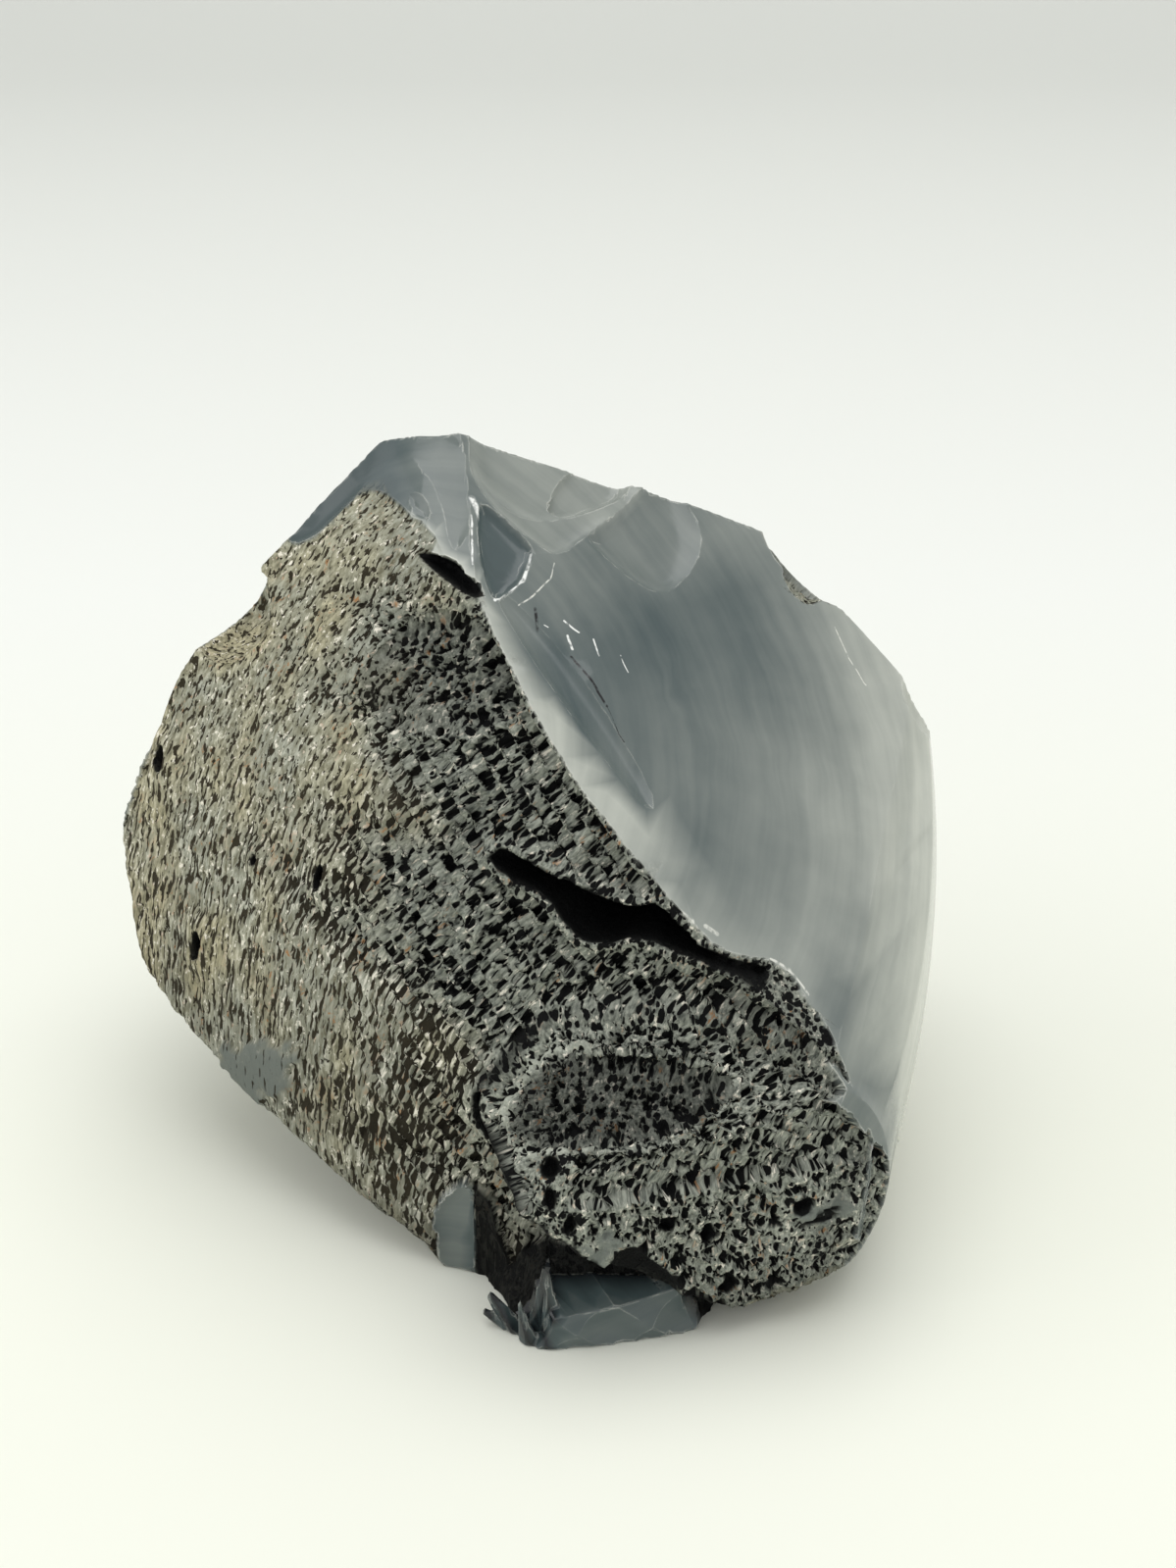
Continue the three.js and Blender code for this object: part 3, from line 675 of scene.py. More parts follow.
def skinValues(mesh, points):
    height, skin, outside, deepest = stoneField(points)
    x, y, z = points.T
    heightOf = {name: faceHeight(points, face) for name, face in bodyFaces.items()}
    rear = np.maximum(heightOf["backLeft"], heightOf["back"]) > -0.4
    ragged = np.sin(0.5 * z + 0.3 * y) + np.sin(1.1 * z - 0.7 * x)
    frothed = rear & (heightOf["crustLeft"] > -rind - ragged) & (skin == skinCode["glass"])
    skin = np.where(frothed, skinCode["crust"], skin)
    undercut = (x > -7.3) & (x < 34) & (y > -41.5) & (y < -20) & (z < 16)  # painted shade: the glass behind the foot gets the black pore skin
    skin = np.where(undercut & (skin == skinCode["glass"]), skinCode["pore"], skin)
    fold = np.maximum(heightOf["crustFold"], heightOf["crustLeft"])
    wander = 1.2 * np.sin(0.21 * z + 0.4) + 0.8 * np.sin(0.47 * z + 0.2 * x)
    lobe, lobeSkin = cutBy(points, lobeFaces)
    onLobe = smoothStep(-lobe, -1.5, 0.5)
    soft = 1.8 + 2.6 * smoothStep(-z, -52, -22)
    wider = 0.6 * wander + 1.6 * smoothStep(-z, -60, -25)  # the warm side reaches further round lower down
    left = smoothStep((fold - heightOf["crustFront"] + wider) / soft, -1, 0.7) * (1 - onLobe)
    needle = np.exp(-((left - 0.6) / 0.35) ** 2) * smoothStep(-z, -80, -45) * (1 - onLobe)
    rough = (skin == skinCode["rough"]).astype(np.float32)
    worn = wornOf(points)
    topFaces = ("topLeft", "backLeftTop", "topMiddle", "glassMain")
    edge = -np.maximum.reduce([heightOf[name] for name in topFaces])
    rim = insideOutline(points, flakes["lobeHollow"][0], flakes["lobeHollow"][4])
    flat = localTo(points, *bodyFaces["glassMain"][:3])
    curl = fibres["curl"] + fibres["fan"] * smoothStep(x, -42, 12)
    lean = curl * z * z
    radius = np.linalg.norm(points - np.array(flowCentre, np.float32), axis=1)
    storeValues(mesh, "crust", (skin > 0.5).astype(np.float32))
    storeValues(mesh, "worn", worn)
    thick = smoothStep(edge, 0.1, 1.6) * smoothStep(-np.minimum(outside, deepest), 0.2, 2.8)
    thick = thick * (1 - 0.9 * (skin == skinCode["pore"]))
    storeValues(mesh, "rugged", (1 - 0.65 * left) * thick * (1 - 0.8 * worn))
    # paler on the lobe hollow's rim and along the lip's edge: partly painted highlight, partly the stone's
    # own paler skin; they also lose the painted shade
    pale = 0.8 * np.exp(-((rim + 0.6) / 0.6) ** 2) * smoothStep(-x, -14, -2) * smoothStep(z, 18, 30)
    lip = faceHeight(points, lobeFaces["lobeLip"])
    lip = smoothStep(lip, -1.0, -0.3) * onLobe * smoothStep(-x, -14, -11) * (skin == skinCode["crust"])
    pale = np.maximum(pale, 0.75 * lip)
    storeValues(mesh, "pale", pale)
    front = (1 - left) * (1 - 0.5 * rough)
    storeValues(mesh, "pores", (0.35 + 0.65 * front) * (1 - worn) * (1 - 0.45 * needle))
    storeValues(mesh, "cavityLevel", 0.27 + 0.135 * front * (1 - 0.2 * onLobe) - 0.12 * worn)
    storeValues(mesh, "needleLevel", 0.27 + 0.115 * smoothStep(left, 0, 0.4) + 0.11 * needle - 0.1 * worn)
    storeValues(mesh, "needle", needle)
    storeValues(mesh, "vesicles", onLobe * smoothStep(-z, -26, -20) * (1 - worn))
    storeValues(mesh, "warm", left * (1 - rough) + 0.5 * rough)
    # painted shade: pore skin is coloured near black
    storeValues(mesh, "deep", (skin == skinCode["pore"]) * (0.96 + 0.04 * smoothStep(-outside, 0.1, 0.8)))
    storeValues(mesh, "paintedShade", np.maximum(paintedShadeOf(points, lobe), pale))
    storeValues(mesh, "litTone", litToneOf(points, flat))
    storeValues(mesh, "grain", np.stack([x - lean, y, z / fibres["stretch"]], axis=1))
    storeValues(mesh, "sweep", np.stack([radius, z / 9, y / 30], axis=1))
    storeValues(mesh, "flat", flat)


# crust relief, in mm; each kind of hollow: how far from one to the next, and depth
relief = {
    "pitCell": 0.78,
    "pitDepth": 0.6,
    "cavityCell": 1.22,
    "cavityDepth": 0.9,
    "needleCell": 0.56,
    "needleDepth": 0.4,
    "vesicleCell": 4.4,
    "vesicleDepth": 1.7,
    "lumpSize": 7.0,
    "lumpHeight": 1.0,
    "knobSize": 1.9,
    "knobHeight": 0.9,
    "warp": 1.4,  # how far the hollows' outlines wander
}
needleStretch = (1, 1, 0.27)  # down the fold the hollows are drawn out to needles


def hollowMasks(tree, read, sizes, soft):  # the crust's hollows, each 1 inside and 0 outside
    masks = {}
    needled = addNode(tree, "ShaderNodeVectorMath", {0: read["grain"], 1: needleStretch},
                      operation="MULTIPLY")
    for name, place in (("cavity", read["bubbly"]), ("needle", needled)):
        scale = addNode(tree, "ShaderNodeMath", {0: 1.0, 1: sizes[name + "Cell"]}, operation="DIVIDE")
        noise = addNode(tree, "ShaderNodeTexNoise", {"Vector": place, "Scale": scale, "Detail": 2.0})
        level = read[name + "Level"]
        ends = addNode(tree, "ShaderNodeMath", {0: level, 1: soft}, operation="ADD")
        masks[name] = addNode(tree, "ShaderNodeMapRange", {0: noise, 1: level, 2: ends, 3: 1.0, 4: 0.0})
    for name, amount, largest in (("pit", "pores", 0.6), ("vesicle", "vesicles", 0.46)):
        scale = addNode(tree, "ShaderNodeMath", {0: 1.0, 1: sizes[name + "Cell"]}, operation="DIVIDE")
        cells = addNode(tree, "ShaderNodeTexVoronoi", {"Vector": read["bubbly"], "Scale": scale})
        size = addNode(tree, "ShaderNodeMapRange", {0: cells.node.outputs["Color"], 1: 0.25, 2: 0.75, 3: 0.2,
                                                    4: largest})
        size = addNode(tree, "ShaderNodeMath", {0: size, 1: read[amount]}, operation="MULTIPLY")
        inner = addNode(tree, "ShaderNodeMath", {0: size, 1: 1 - 4 * soft}, operation="MULTIPLY")
        masks[name] = addNode(tree, "ShaderNodeMapRange", {0: cells, 1: inner, 2: size, 3: 1.0, 4: 0.0},
                              interpolation_type="SMOOTHSTEP")
    return masks


def reliefTree(material):
    tree = bpy.data.node_groups.new("crustRelief", "GeometryNodeTree")
    tree.interface.new_socket(name="Geometry", in_out="INPUT", socket_type="NodeSocketGeometry")
    sockets = {}
    for name, value in relief.items():
        socket = tree.interface.new_socket(name=name, in_out="INPUT", socket_type="NodeSocketFloat")
        socket.default_value = value
        sockets[name] = socket.identifier
    tree.interface.new_socket(name="Geometry", in_out="OUTPUT", socket_type="NodeSocketGeometry")
    given = tree.nodes.new("NodeGroupInput").outputs
    read = {}
    for name in ("grain", "crust", "pores", "cavityLevel", "needleLevel", "vesicles", "rugged"):
        kind = "FLOAT_VECTOR" if name == "grain" else "FLOAT"
        read[name] = addNode(tree, "GeometryNodeInputNamedAttribute", {"Name": name}, data_type=kind)

    # the hollows' outlines wander
    drift = addNode(tree, "ShaderNodeTexNoise", {"Vector": read["grain"], "Scale": 1.2, "Detail": 4.0,
                                                 "Roughness": 0.6}, take="Color")
    drift = addNode(tree, "ShaderNodeVectorMath", {0: drift, 1: (0.5, 0.5, 0.5)}, operation="SUBTRACT")
    drift = addNode(tree, "ShaderNodeVectorMath", {0: drift, "Scale": given["warp"]}, operation="SCALE")
    read["bubbly"] = addNode(tree, "ShaderNodeVectorMath", {0: read["grain"], 1: drift}, operation="ADD")

    depth = 0.0
    for name, mask in hollowMasks(tree, read, given, 0.09).items():
        part = addNode(tree, "ShaderNodeMath", {0: mask, 1: given[name + "Depth"]}, operation="MULTIPLY")
        depth = addNode(tree, "ShaderNodeMath", {0: depth, 1: part}, operation="ADD")
    for name in ("lump", "knob"):
        scale = addNode(tree, "ShaderNodeMath", {0: 1.0, 1: given[name + "Size"]}, operation="DIVIDE")
        noise = addNode(tree, "ShaderNodeTexNoise", {"Vector": read["grain"], "Scale": scale, "Detail": 3.0})
        hollow = addNode(tree, "ShaderNodeMapRange", {0: noise, 1: 0.35, 2: 0.65, 3: 0.65, 4: -0.35})
        part = addNode(tree, "ShaderNodeMath", {0: hollow, 1: given[name + "Height"]}, operation="MULTIPLY")
        depth = addNode(tree, "ShaderNodeMath", {0: depth, 1: part}, operation="ADD")
    depth = addNode(tree, "ShaderNodeMath", {0: depth, 1: read["rugged"]}, operation="MULTIPLY")
    depth = addNode(tree, "ShaderNodeMath", {0: depth, 1: read["crust"]}, operation="MULTIPLY")

    # none of it where the stone rests
    place = addNode(tree, "GeometryNodeInputPosition")
    above = addNode(tree, "ShaderNodeSeparateXYZ", {0: place}, take="Z")
    standing = addNode(tree, "ShaderNodeMapRange", {0: above, 1: 0.1 * mm, 2: 1.5 * mm, 4: -mm})
    metres = addNode(tree, "ShaderNodeMath", {0: depth, 1: standing}, operation="MULTIPLY")
    normal = addNode(tree, "GeometryNodeInputNormal")
    offset = addNode(tree, "ShaderNodeVectorMath", {0: normal, "Scale": metres}, operation="SCALE")
    moved = addNode(tree, "GeometryNodeSetPosition", {"Geometry": given["Geometry"], "Offset": offset})
    kept = addNode(tree, "GeometryNodeStoreNamedAttribute",
                   {"Geometry": moved, "Name": "bubbly", "Value": read["bubbly"]},
                   data_type="FLOAT_VECTOR", domain="POINT")
    real = addNode(tree, "GeometryNodeRealizeInstances", {"Geometry": kept})
    painted = addNode(tree, "GeometryNodeSetMaterial", {"Geometry": real, "Material": material})
    addNode(tree, "NodeGroupOutput", {0: painted})
    return tree, sockets


def stoneMesh(material):
    mesh = fineBlank()
    print("stone filled:", len(mesh.vertices), "points")
    middle = np.array(shape["middle"], np.float32)
    points = settle(placesOf(mesh) / mm + middle)
    mesh.vertices.foreach_set("co", ((points - middle) * mm).ravel())
    skinValues(mesh, points)
    mesh.update()
    print("fracture faces laid out")
    blank = newObject("fine", mesh)
    tree, sockets = reliefTree(material)
    modifier = blank.modifiers.new("crustRelief", "NODES")
    modifier.node_group = tree
    for name, value in relief.items():
        modifier[sockets[name]] = value
    thin = blank.modifiers.new("thin", "DECIMATE")
    thin.ratio = min(1, shape["triangles"] / (2 * len(mesh.polygons)))
    finished = bakedMesh(blank)
    bpy.data.objects.remove(blank)
    low, high = (np.array(corner, np.float32) for corner in cadBox)
    finished.vertices.foreach_set("co", np.clip(placesOf(finished), low, high).ravel())
    finished.update()
    print("crust pitted and thinned:", len(finished.polygons), "faces")
    return finished


def creaseGlass(mesh):  # sharp where the glass turns, soft over the crust
    mesh.shade_smooth()
    crust = np.empty(len(mesh.vertices), np.float32)
    mesh.attributes["crust"].data.foreach_get("value", crust)
    normals = np.empty(len(mesh.polygons) * 3, np.float32)
    mesh.polygons.foreach_get("normal", normals)
    normals = normals.reshape(-1, 3)
    loopEdges = np.empty(len(mesh.loops), np.int32)
    mesh.loops.foreach_get("edge_index", loopEdges)
    starts = np.empty(len(mesh.polygons), np.int32)
    totals = starts.copy()
    mesh.polygons.foreach_get("loop_start", starts)
    mesh.polygons.foreach_get("loop_total", totals)
    faceOfLoop = np.repeat(np.arange(len(mesh.polygons)), totals)
    order = np.argsort(loopEdges, kind="stable")
    first = np.full(len(mesh.edges), -1, np.int64)
    last = first.copy()
    first[loopEdges[order[::-1]]] = faceOfLoop[order[::-1]]
    last[loopEdges[order]] = faceOfLoop[order]
    turned = (normals[first] * normals[last]).sum(axis=1) < math.cos(math.radians(crease["angle"]))
    ends = np.empty(len(mesh.edges) * 2, np.int32)
    mesh.edges.foreach_get("vertices", ends)
    glassy = crust[ends.reshape(-1, 2)].min(axis=1) < 0.5
    sharp = mesh.attributes.new("sharp_edge", "BOOLEAN", "EDGE")
    sharp.data.foreach_set("value", turned & glassy)


def paintParts(mesh, materials):  # glass first, crust second
    mesh.materials.clear()
    for material in materials:
        mesh.materials.append(material)
    crust = np.empty(len(mesh.vertices), np.float32)
    mesh.attributes["crust"].data.foreach_get("value", crust)
    corners = np.empty(len(mesh.loops), np.int32)
    mesh.loops.foreach_get("vertex_index", corners)
    starts = np.empty(len(mesh.polygons), np.int32)
    totals = starts.copy()
    mesh.polygons.foreach_get("loop_start", starts)
    mesh.polygons.foreach_get("loop_total", totals)
    frothy = np.add.reduceat(crust[corners], starts) / totals > 0.5
    mesh.polygons.foreach_set("material_index", frothy.astype(np.int32))
    mesh.update()


crease = {"angle": 14}

# Obsidian: volcanic glass. Broken faces are smooth and glossy, with grey smoke bands in the dark glass;
# the crust is the same glass frothed with gas, so it is dull and brown-grey with black bubbles.
finish = {
    "glassDeep": "#15191c",
    "glassDark": "#475455",
    "glassPale": "#c3c6bc",
    "rim": "#dadbd2",  # painted light: a chipped edge is thin, and light comes through it; partly its own whitish bruised glass
    # painted highlight: white glints where the hackles catch the light
    "paintedGlint": "#f2f4f0",
    "crack": "#07090a",
    "frothDark": "#50554f",
    "froth": "#b2b6a9",
    "warmDark": "#6f6c58",
    "warm": "#c6bf9f",
    "cool": "#b2b5a7",  # greyer stretches of the warm side
    "fleck": "#f1ecdc",
    "rust": "#a07a55",
    "worn": "#7a807a",
    # partly painted highlight on the lobe's rims, partly the stone's own paler skin
    "paleRimAndHighlight": "#b9bdb0",
    # painted shade for the hollows, creases and pore skin, partly the dark glass inside them
    "shadedHole": "#040505",
    "warmShadedHole": "#353023",
    "bandWidth": 6.0,  # mm from one smoke band to the next
    "streakWidth": 1.7,
    "speckSize": 0.42,  # mm, glassy grains between the hollows, drawn no finer than they can show
    "strandSize": 0.55,
    "glassRoughness": 0.18,
    "crustRoughness": 0.7,
    "glassIor": 1.5,
    "brokenGlass": 0.5,  # how strongly each part shines
    "frothedCrust": 0.14,
    "rimRadius": 0.35,
}
# fine lines on the big face: colour, width in mm, and points in the view
fineLines = [
    ("crack", 0.30, [(545, 620), (549, 643), (555, 668)]),
    ("crack", 0.12, [(555, 668), (578, 705)]),
    ("crack", 0.26, [(583, 670), (600, 690), (618, 720)]),
    ("crack", 0.10, [(618, 720), (637, 757)]),
    # painted highlights: glints and pale rims where the glass catches the light; the cracks are real
    ("paintedGlint", 0.30, [(541, 565), (538, 580), (533, 592), (505, 612)]),
    ("rim", 0.14, [(565, 575), (560, 590), (550, 600), (525, 620)]),
    ("paintedGlint", 0.55, [(482, 508), (491, 530)]),
    ("paintedGlint", 0.16, [(481, 525), (482, 575)]),
    ("paintedGlint", 0.18, [(574, 632), (590, 645)]),
    ("paintedGlint", 0.24, [(578, 648), (584, 662)]),
    ("paintedGlint", 0.16, [(604, 652), (610, 668)]),
    ("paintedGlint", 0.12, [(555, 636), (558, 638)]),
    ("paintedGlint", 0.12, [(632, 668), (640, 685)]),
    # painted highlights along the rim step and the fissure's upper edge
    ("rim", 0.12, [(852, 640), (865, 670), (885, 700)]),
    ("rim", 0.5, [(691, 928), (706, 939)]),
    ("rim", 0.4, [(720, 944), (731, 952)]),
    ("rim", 0.22, [(786, 978), (804, 988), (824, 1013)]),
]


def lineMask(tree, place, points, width):  # 1 on a line through the points, 0 away from it
    best = 0.0
    for (ax, ay), (bx, by) in zip(points, points[1:]):
        run = (bx - ax, by - ay, 0)
        away = addNode(tree, "ShaderNodeVectorMath", {0: place, 1: (ax, ay, 0)}, operation="SUBTRACT")
        along = addNode(tree, "ShaderNodeVectorMath", {0: away, 1: run}, take="Value",
                        operation="DOT_PRODUCT")
        share = addNode(tree, "ShaderNodeMapRange", {0: along, 1: 0.0, 2: run[0] ** 2 + run[1] ** 2})
        reach = addNode(tree, "ShaderNodeVectorMath", {0: run, "Scale": share}, operation="SCALE")
        gap = addNode(tree, "ShaderNodeVectorMath", {0: away, 1: reach}, take="Value", operation="DISTANCE")
        mask = addNode(tree, "ShaderNodeMapRange", {0: gap, 1: width * 0.5, 2: width, 3: 1.0, 4: 0.0})
        best = addNode(tree, "ShaderNodeMath", {0: best, 1: mask}, operation="MAXIMUM")
    return best


def crustColour(tree, read, colour):
    needled = addNode(tree, "ShaderNodeVectorMath", {0: read["grain"], 1: needleStretch},
                      operation="MULTIPLY")
    grains = {}
    kinds = (("speck", read["grain"], finish["speckSize"]), ("strand", needled, finish["strandSize"]))
    for name, place, size in kinds:
        noise = addNode(tree, "ShaderNodeTexNoise", {"Vector": place, "Scale": 1 / size, "Detail": 3.0,
                                                     "Roughness": 0.6})
        grains[name] = addNode(tree, "ShaderNodeMapRange", {0: noise, 1: 0.32, 2: 0.68})
    grit = addNode(tree, "ShaderNodeMix", {"Factor": read["warm"], 2: grains["speck"], 3: grains["strand"]})
    froth = addNode(tree, "ShaderNodeMix", {"Factor": grit, 6: colour["frothDark"], 7: colour["froth"]},
                    take=2, data_type="RGBA")
    broad = addNode(tree, "ShaderNodeTexNoise", {"Vector": read["grain"], "Scale": 0.09, "Detail": 3.0})
    broad = addNode(tree, "ShaderNodeMapRange", {0: broad, 1: 0.4, 2: 0.6})
    pale = addNode(tree, "ShaderNodeMix", {"Factor": broad, 6: colour["cool"], 7: colour["warm"]},
                   take=2, data_type="RGBA")
    warm = addNode(tree, "ShaderNodeMix", {"Factor": grit, 6: colour["warmDark"], 7: pale}, take=2,
                   data_type="RGBA")
    crust = addNode(tree, "ShaderNodeMix", {"Factor": read["warm"], 6: froth, 7: warm}, take=2,
                    data_type="RGBA")

    # flecks of clear glass, rusty in places
    bright = addNode(tree, "ShaderNodeTexNoise", {"Vector": read["grain"], "Scale": 1.5, "Detail": 5.0,
                                                  "Roughness": 0.65})
    bright = addNode(tree, "ShaderNodeMapRange", {0: bright, 1: 0.57, 2: 0.64})
    strands = addNode(tree, "ShaderNodeMapRange", {0: grains["strand"], 1: 0.6, 2: 0.95})
    strands = addNode(tree, "ShaderNodeMath", {0: strands, 1: read["needle"]}, operation="MULTIPLY")
    bright = addNode(tree, "ShaderNodeMath", {0: bright, 1: strands}, operation="MAXIMUM")
    rusty = addNode(tree, "ShaderNodeTexNoise", {"Vector": read["grain"], "Scale": 0.3, "Detail": 2.0})
    rusty = addNode(tree, "ShaderNodeMapRange", {0: rusty, 1: 0.52, 2: 0.62})
    fleck = addNode(tree, "ShaderNodeMix", {"Factor": rusty, 6: colour["fleck"], 7: colour["rust"]},
                    take=2, data_type="RGBA")
    crust = addNode(tree, "ShaderNodeMix", {"Factor": bright, 6: crust, 7: fleck}, take=2, data_type="RGBA")
    for kind, tint in (("pale", "paleRimAndHighlight"), ("worn", "worn")):
        crust = addNode(tree, "ShaderNodeMix", {"Factor": read[kind], 6: crust, 7: colour[tint]},
                        take=2, data_type="RGBA")

    # painted shade: the hollows, the creases and the pore skin are coloured near black
    shadedHole = 0.0
    for name, mask in hollowMasks(tree, read, relief, 0.035).items():
        shadedHole = addNode(tree, "ShaderNodeMath", {0: shadedHole, 1: mask}, operation="MAXIMUM")
    inside = addNode(tree, "ShaderNodeMix",
                     {"Factor": read["warm"], 6: colour["shadedHole"], 7: colour["warmShadedHole"]},
                     take=2, data_type="RGBA")
    crust = addNode(tree, "ShaderNodeMix", {"Factor": shadedHole, 6: crust, 7: inside}, take=2, data_type="RGBA")
    crust = addNode(tree, "ShaderNodeMix", {"Factor": read["paintedShade"], 6: colour["shadedHole"], 7: crust},
                    take=2, data_type="RGBA")
    crust = addNode(tree, "ShaderNodeMix", {"Factor": read["deep"], 6: crust, 7: colour["shadedHole"]},
                    take=2, data_type="RGBA")
    height = addNode(tree, "ShaderNodeMath", {0: grit, 1: 0.3}, operation="MULTIPLY")
    height = addNode(tree, "ShaderNodeMath", {0: height, 1: shadedHole}, operation="SUBTRACT")
    shallow = addNode(tree, "ShaderNodeMapRange", {0: read["warm"], 3: 1.0, 4: 0.5})
    height = addNode(tree, "ShaderNodeMath", {0: height, 1: shallow}, operation="MULTIPLY")
    return crust, height


def glassColour(tree, read, colour):
    smoke = 0.0
    for width, share in ((finish["bandWidth"], 0.6), (finish["streakWidth"], 0.4)):
        bands = addNode(tree, "ShaderNodeTexNoise",
                        {"Vector": read["sweep"], "Scale": 1 / width, "Detail": 3.0})
        bands = addNode(tree, "ShaderNodeMapRange", {0: bands, 1: 0.35, 2: 0.65, 4: share})
        smoke = addNode(tree, "ShaderNodeMath", {0: smoke, 1: bands}, operation="ADD")
    cloud = addNode(tree, "ShaderNodeTexNoise", {"Vector": read["flat"], "Scale": 0.14, "Detail": 5.0})
    cloud = addNode(tree, "ShaderNodeMapRange", {0: cloud, 1: 0.3, 2: 0.7, 4: 0.5})
    smoke = addNode(tree, "ShaderNodeMath", {0: smoke, 1: cloud}, operation="ADD")
    smoke = addNode(tree, "ShaderNodeMapRange", {0: smoke, 2: 1.5, 3: 0.84, 4: 1.16})
    litTone = addNode(tree, "ShaderNodeMath", {0: smoke, 1: read["litTone"]}, operation="MULTIPLY")
    low = addNode(tree, "ShaderNodeMapRange", {0: litTone, 2: 0.3})
    high = addNode(tree, "ShaderNodeMapRange", {0: litTone, 1: 0.3})
    glass = addNode(tree, "ShaderNodeMix", {"Factor": low, 6: colour["glassDeep"], 7: colour["glassDark"]},
                    take=2, data_type="RGBA")
    glass = addNode(tree, "ShaderNodeMix", {"Factor": high, 6: glass, 7: colour["glassPale"]},
                    take=2, data_type="RGBA")

    # bevelled normals differ from the real ones only at an edge; there the glass gets the rim colour, a
    # painted highlight, partly whitish bruised glass
    rounded = addNode(tree, "ShaderNodeBevel", {"Radius": finish["rimRadius"] * mm}, samples=4)
    plain = addNode(tree, "ShaderNodeNewGeometry", take="Normal")
    agree = addNode(tree, "ShaderNodeVectorMath", {0: rounded, 1: plain}, take="Value",
                    operation="DOT_PRODUCT")
    edge = addNode(tree, "ShaderNodeMapRange", {0: agree, 1: 0.995, 2: 0.93, 3: 0.0, 4: 0.75})
    chips = addNode(tree, "ShaderNodeTexNoise", {"Vector": read["grain"], "Scale": 0.5, "Detail": 3.0})
    chips = addNode(tree, "ShaderNodeMapRange", {0: chips, 1: 0.35, 2: 0.6})
    edge = addNode(tree, "ShaderNodeMath", {0: edge, 1: chips}, operation="MULTIPLY")
    edge = addNode(tree, "ShaderNodeMath", {0: edge, 1: low}, operation="MULTIPLY")
    glass = addNode(tree, "ShaderNodeMix", {"Factor": edge, 6: glass, 7: colour["rim"]}, take=2,
                    data_type="RGBA")
    broken = addNode(tree, "ShaderNodeTexNoise", {"Vector": read["flat"], "Scale": 1.1, "Detail": 4.0})
    broken = addNode(tree, "ShaderNodeMapRange", {0: broken, 1: 0.33, 2: 0.52})
    for name, width, pixels in fineLines:
        mask = lineMask(tree, read["flat"], onFace("glassMain", pixels).tolist(), width)
        mask = addNode(tree, "ShaderNodeMath", {0: mask, 1: broken}, operation="MULTIPLY")
        glass = addNode(tree, "ShaderNodeMix", {"Factor": mask, 6: glass, 7: colour[name]}, take=2,
                        data_type="RGBA")
    ripple = addNode(tree, "ShaderNodeTexNoise", {"Vector": read["sweep"], "Scale": 0.9, "Detail": 2.0})
    return glass, ripple


def obsidian(name):  # both parts of the stone are drawn alike, so that they meet without a step
    material = bpy.data.materials.new(name)
    material.use_nodes = True
    tree = material.node_tree
    tree.nodes.clear()
    colour = {key: toLinear(value) for key, value in finish.items() if isinstance(value, str)}
    read = {}
    for kind in ("crust", "worn", "pores", "cavityLevel", "needleLevel", "needle", "vesicles",
                 "pale", "warm", "deep", "paintedShade", "litTone"):
        read[kind] = addNode(tree, "ShaderNodeAttribute", take="Fac", attribute_name=kind)
    for kind in ("grain", "bubbly", "sweep", "flat"):
        read[kind] = addNode(tree, "ShaderNodeAttribute", take="Vector", attribute_name=kind)
    crust, pitted = crustColour(tree, read, colour)
    glass, rippled = glassColour(tree, read, colour)
    base = addNode(tree, "ShaderNodeMix", {"Factor": read["crust"], 6: glass, 7: crust}, take=2,
                   data_type="RGBA")
    rough = addNode(tree, "ShaderNodeMix", {"Factor": read["crust"], 2: finish["glassRoughness"],
                                            3: finish["crustRoughness"]})
    # relief finer than the mesh
    height = addNode(tree, "ShaderNodeMath", {0: rippled, 1: 0.05}, operation="MULTIPLY")
    height = addNode(tree, "ShaderNodeMix", {"Factor": read["crust"], 2: height, 3: pitted})
    bump = addNode(tree, "ShaderNodeBump", {"Strength": 1.0, "Distance": 0.4 * mm, "Height": height})
    surface = addNode(tree, "ShaderNodeBsdfPrincipled", {"Base Color": base, "Roughness": rough,
                                                         "IOR": finish["glassIor"], "Normal": bump,
                                                         "Specular IOR Level": finish[name]})
    addNode(tree, "ShaderNodeOutputMaterial", {"Surface": surface})
    return material


parts = [obsidian("brokenGlass"), obsidian("frothedCrust")]
stone = newObject("obsidianChunk", stoneMesh(parts[0]))
paintParts(stone.data, parts)
creaseGlass(stone.data)
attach(stone, "root")
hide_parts("obsidian_chunk")
print("stone finished")

# pale paper sweep under soft light from above and from a window on the left
studio = {
    "paper": "#f1f3e7",
    "midPaperShade": "#eceee9",  # painted shade: a little darker and less yellow further back
    # painted shade: darker still towards the far wall
    "farPaperShade": "#d4d6d1",
    "halfWidth": 2.5,
    "front": -1.5,
    "bend": 0.75,  # where the paper starts to rise
    "radius": 0.6,
    "top": 2.2,
    "worldStrength": 0.7,
    "overheadPower": 12.8,
    "overheadPlace": (0.15, 0.12, 1.55),
    "overheadSize": 1.6,
    "windowPower": 1.6,
    "windowPlace": (-0.85, -0.1, 0.55),
    "windowSize": 0.7,
}


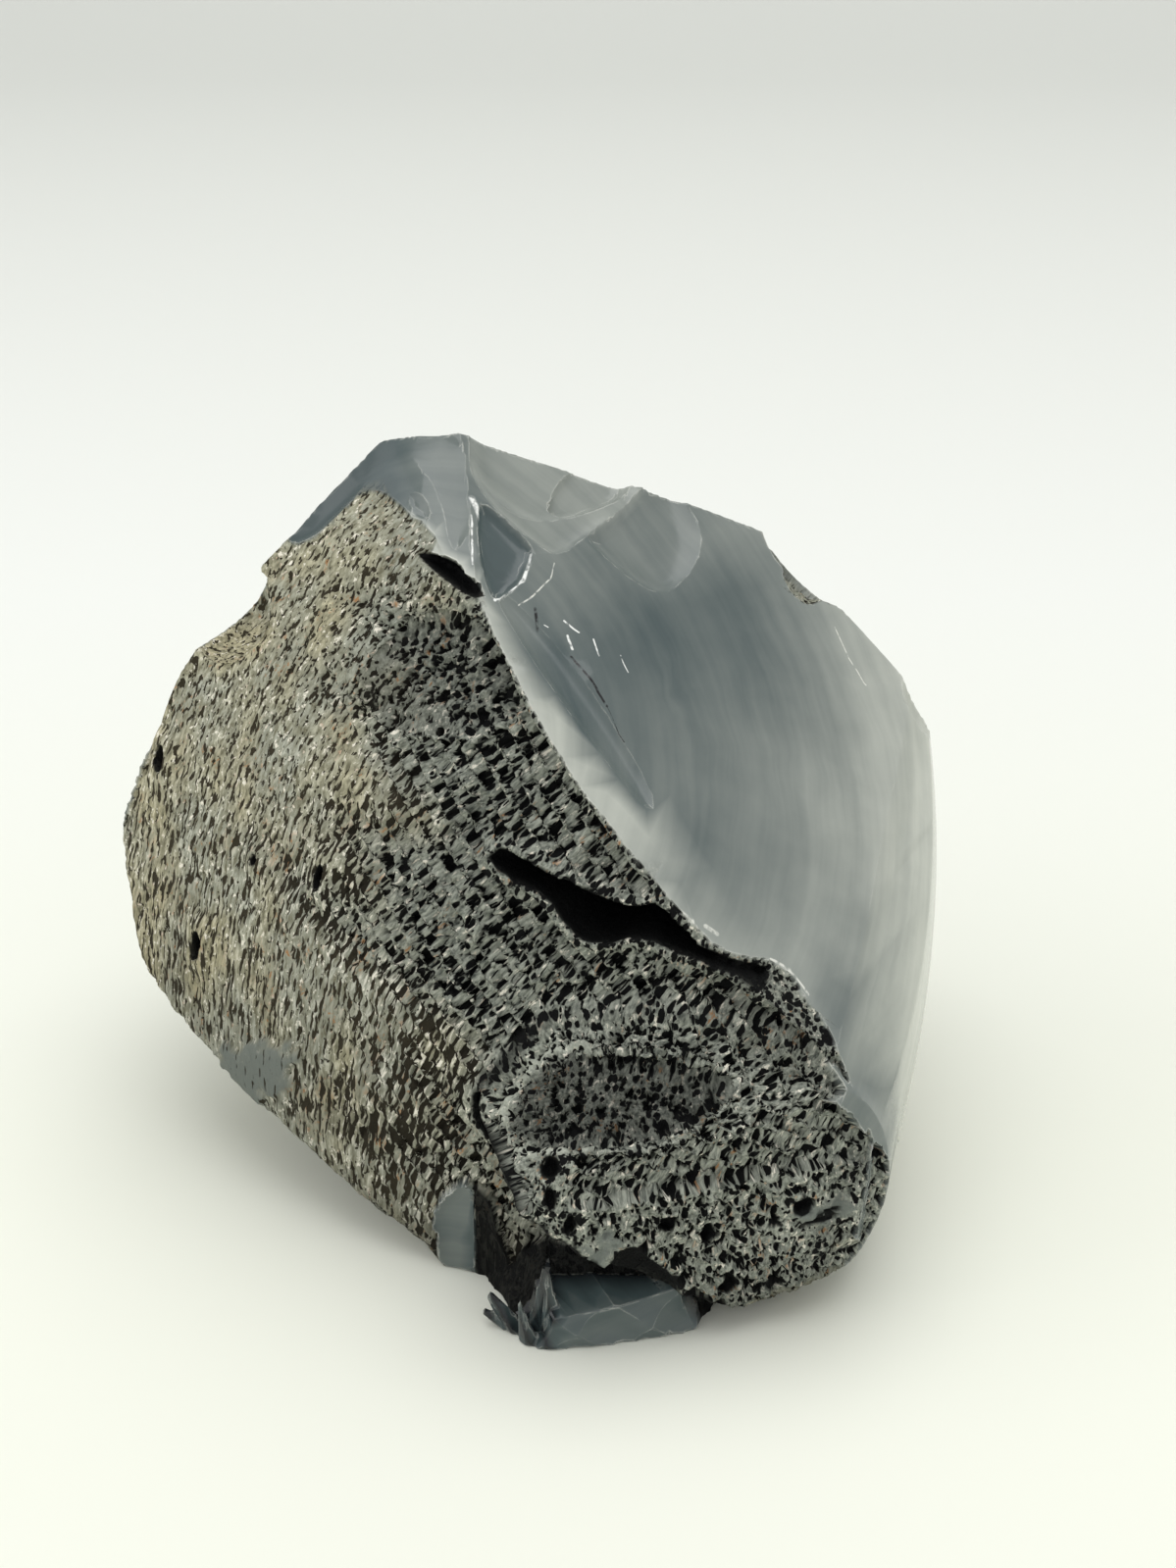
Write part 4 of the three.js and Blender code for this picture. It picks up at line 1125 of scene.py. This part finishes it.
def paperSweep():
    outline = [(studio["front"], 0.0), (studio["bend"], 0.0)]
    for i in range(1, 17):
        angle = math.radians(90 * i / 16)
        rise = studio["radius"] * (1 - math.cos(angle))
        outline.append((studio["bend"] + studio["radius"] * math.sin(angle), rise))
    outline.append((studio["bend"] + studio["radius"], studio["top"]))
    corners = [(x, y, z) for y, z in outline for x in (-studio["halfWidth"], studio["halfWidth"])]
    strips = [(2 * i, 2 * i + 1, 2 * i + 3, 2 * i + 2) for i in range(len(outline) - 1)]
    mesh = bpy.data.meshes.new("paperSweep")
    mesh.from_pydata(corners, [], strips)
    mesh.shade_smooth()
    material = bpy.data.materials.new("mattPaper")  # uncoated card, no shine; its colour is darkened further back as painted shade
    material.use_nodes = True
    tree = material.node_tree
    surface = tree.nodes["Principled BSDF"]
    place = addNode(tree, "ShaderNodeTexCoord", take="Object")
    back = addNode(tree, "ShaderNodeSeparateXYZ", {0: place}, take="Y")
    middle = addNode(tree, "ShaderNodeMapRange", {0: back, 1: 0.0, 2: 0.2})
    far = addNode(tree, "ShaderNodeMapRange", {0: back, 1: 0.2, 2: 0.7})
    paintedShade = addNode(tree, "ShaderNodeMix", {"Factor": middle, 6: toLinear(studio["paper"]),
                                            7: toLinear(studio["midPaperShade"])}, take=2, data_type="RGBA")
    paintedShade = addNode(tree, "ShaderNodeMix", {"Factor": far, 6: paintedShade, 7: toLinear(studio["farPaperShade"])},
                    take=2, data_type="RGBA")
    tree.links.new(paintedShade, surface.inputs["Base Color"])
    surface.inputs["Roughness"].default_value = 0.9
    mesh.materials.append(material)
    return newObject("paperSweep", mesh)


paperSweep()
world = bpy.data.worlds.new("softRoom")
world.use_nodes = True
world.node_tree.nodes["Background"].inputs["Color"].default_value = (1, 1, 1, 1)
world.node_tree.nodes["Background"].inputs["Strength"].default_value = studio["worldStrength"]
bpy.context.scene.world = world


def softBox(name, aim=(0, 0, 0.05)):
    lamp = bpy.data.lights.new(name, "AREA")
    lamp.size = studio[name + "Size"]
    lamp.energy = studio[name + "Power"]
    box = newObject(name, lamp)
    box.location = studio[name + "Place"]
    away = Vector(box.location) - Vector(aim)
    box.rotation_euler = away.to_track_quat("Z", "Y").to_euler()


for name in ("overhead", "window"):
    softBox(name)
print("sweep and lights set")

def camera():
    data = bpy.data.cameras.new("camera")
    data.lens = view["lens"]
    data.sensor_width = view["sensor"]
    data.clip_start = 0.01
    made = newObject("camera", data)
    down = math.radians(view["down"])
    back = Vector((0, -math.cos(down), math.sin(down)))
    made.location = (Vector(view["aim"]) - Vector(shape["middle"]) + view["distance"] * back) * mm
    made.rotation_euler = (math.radians(90) - down, 0, 0)
    return made


bpy.context.scene.camera = camera()
bpy.context.scene.view_settings.view_transform = "Standard"
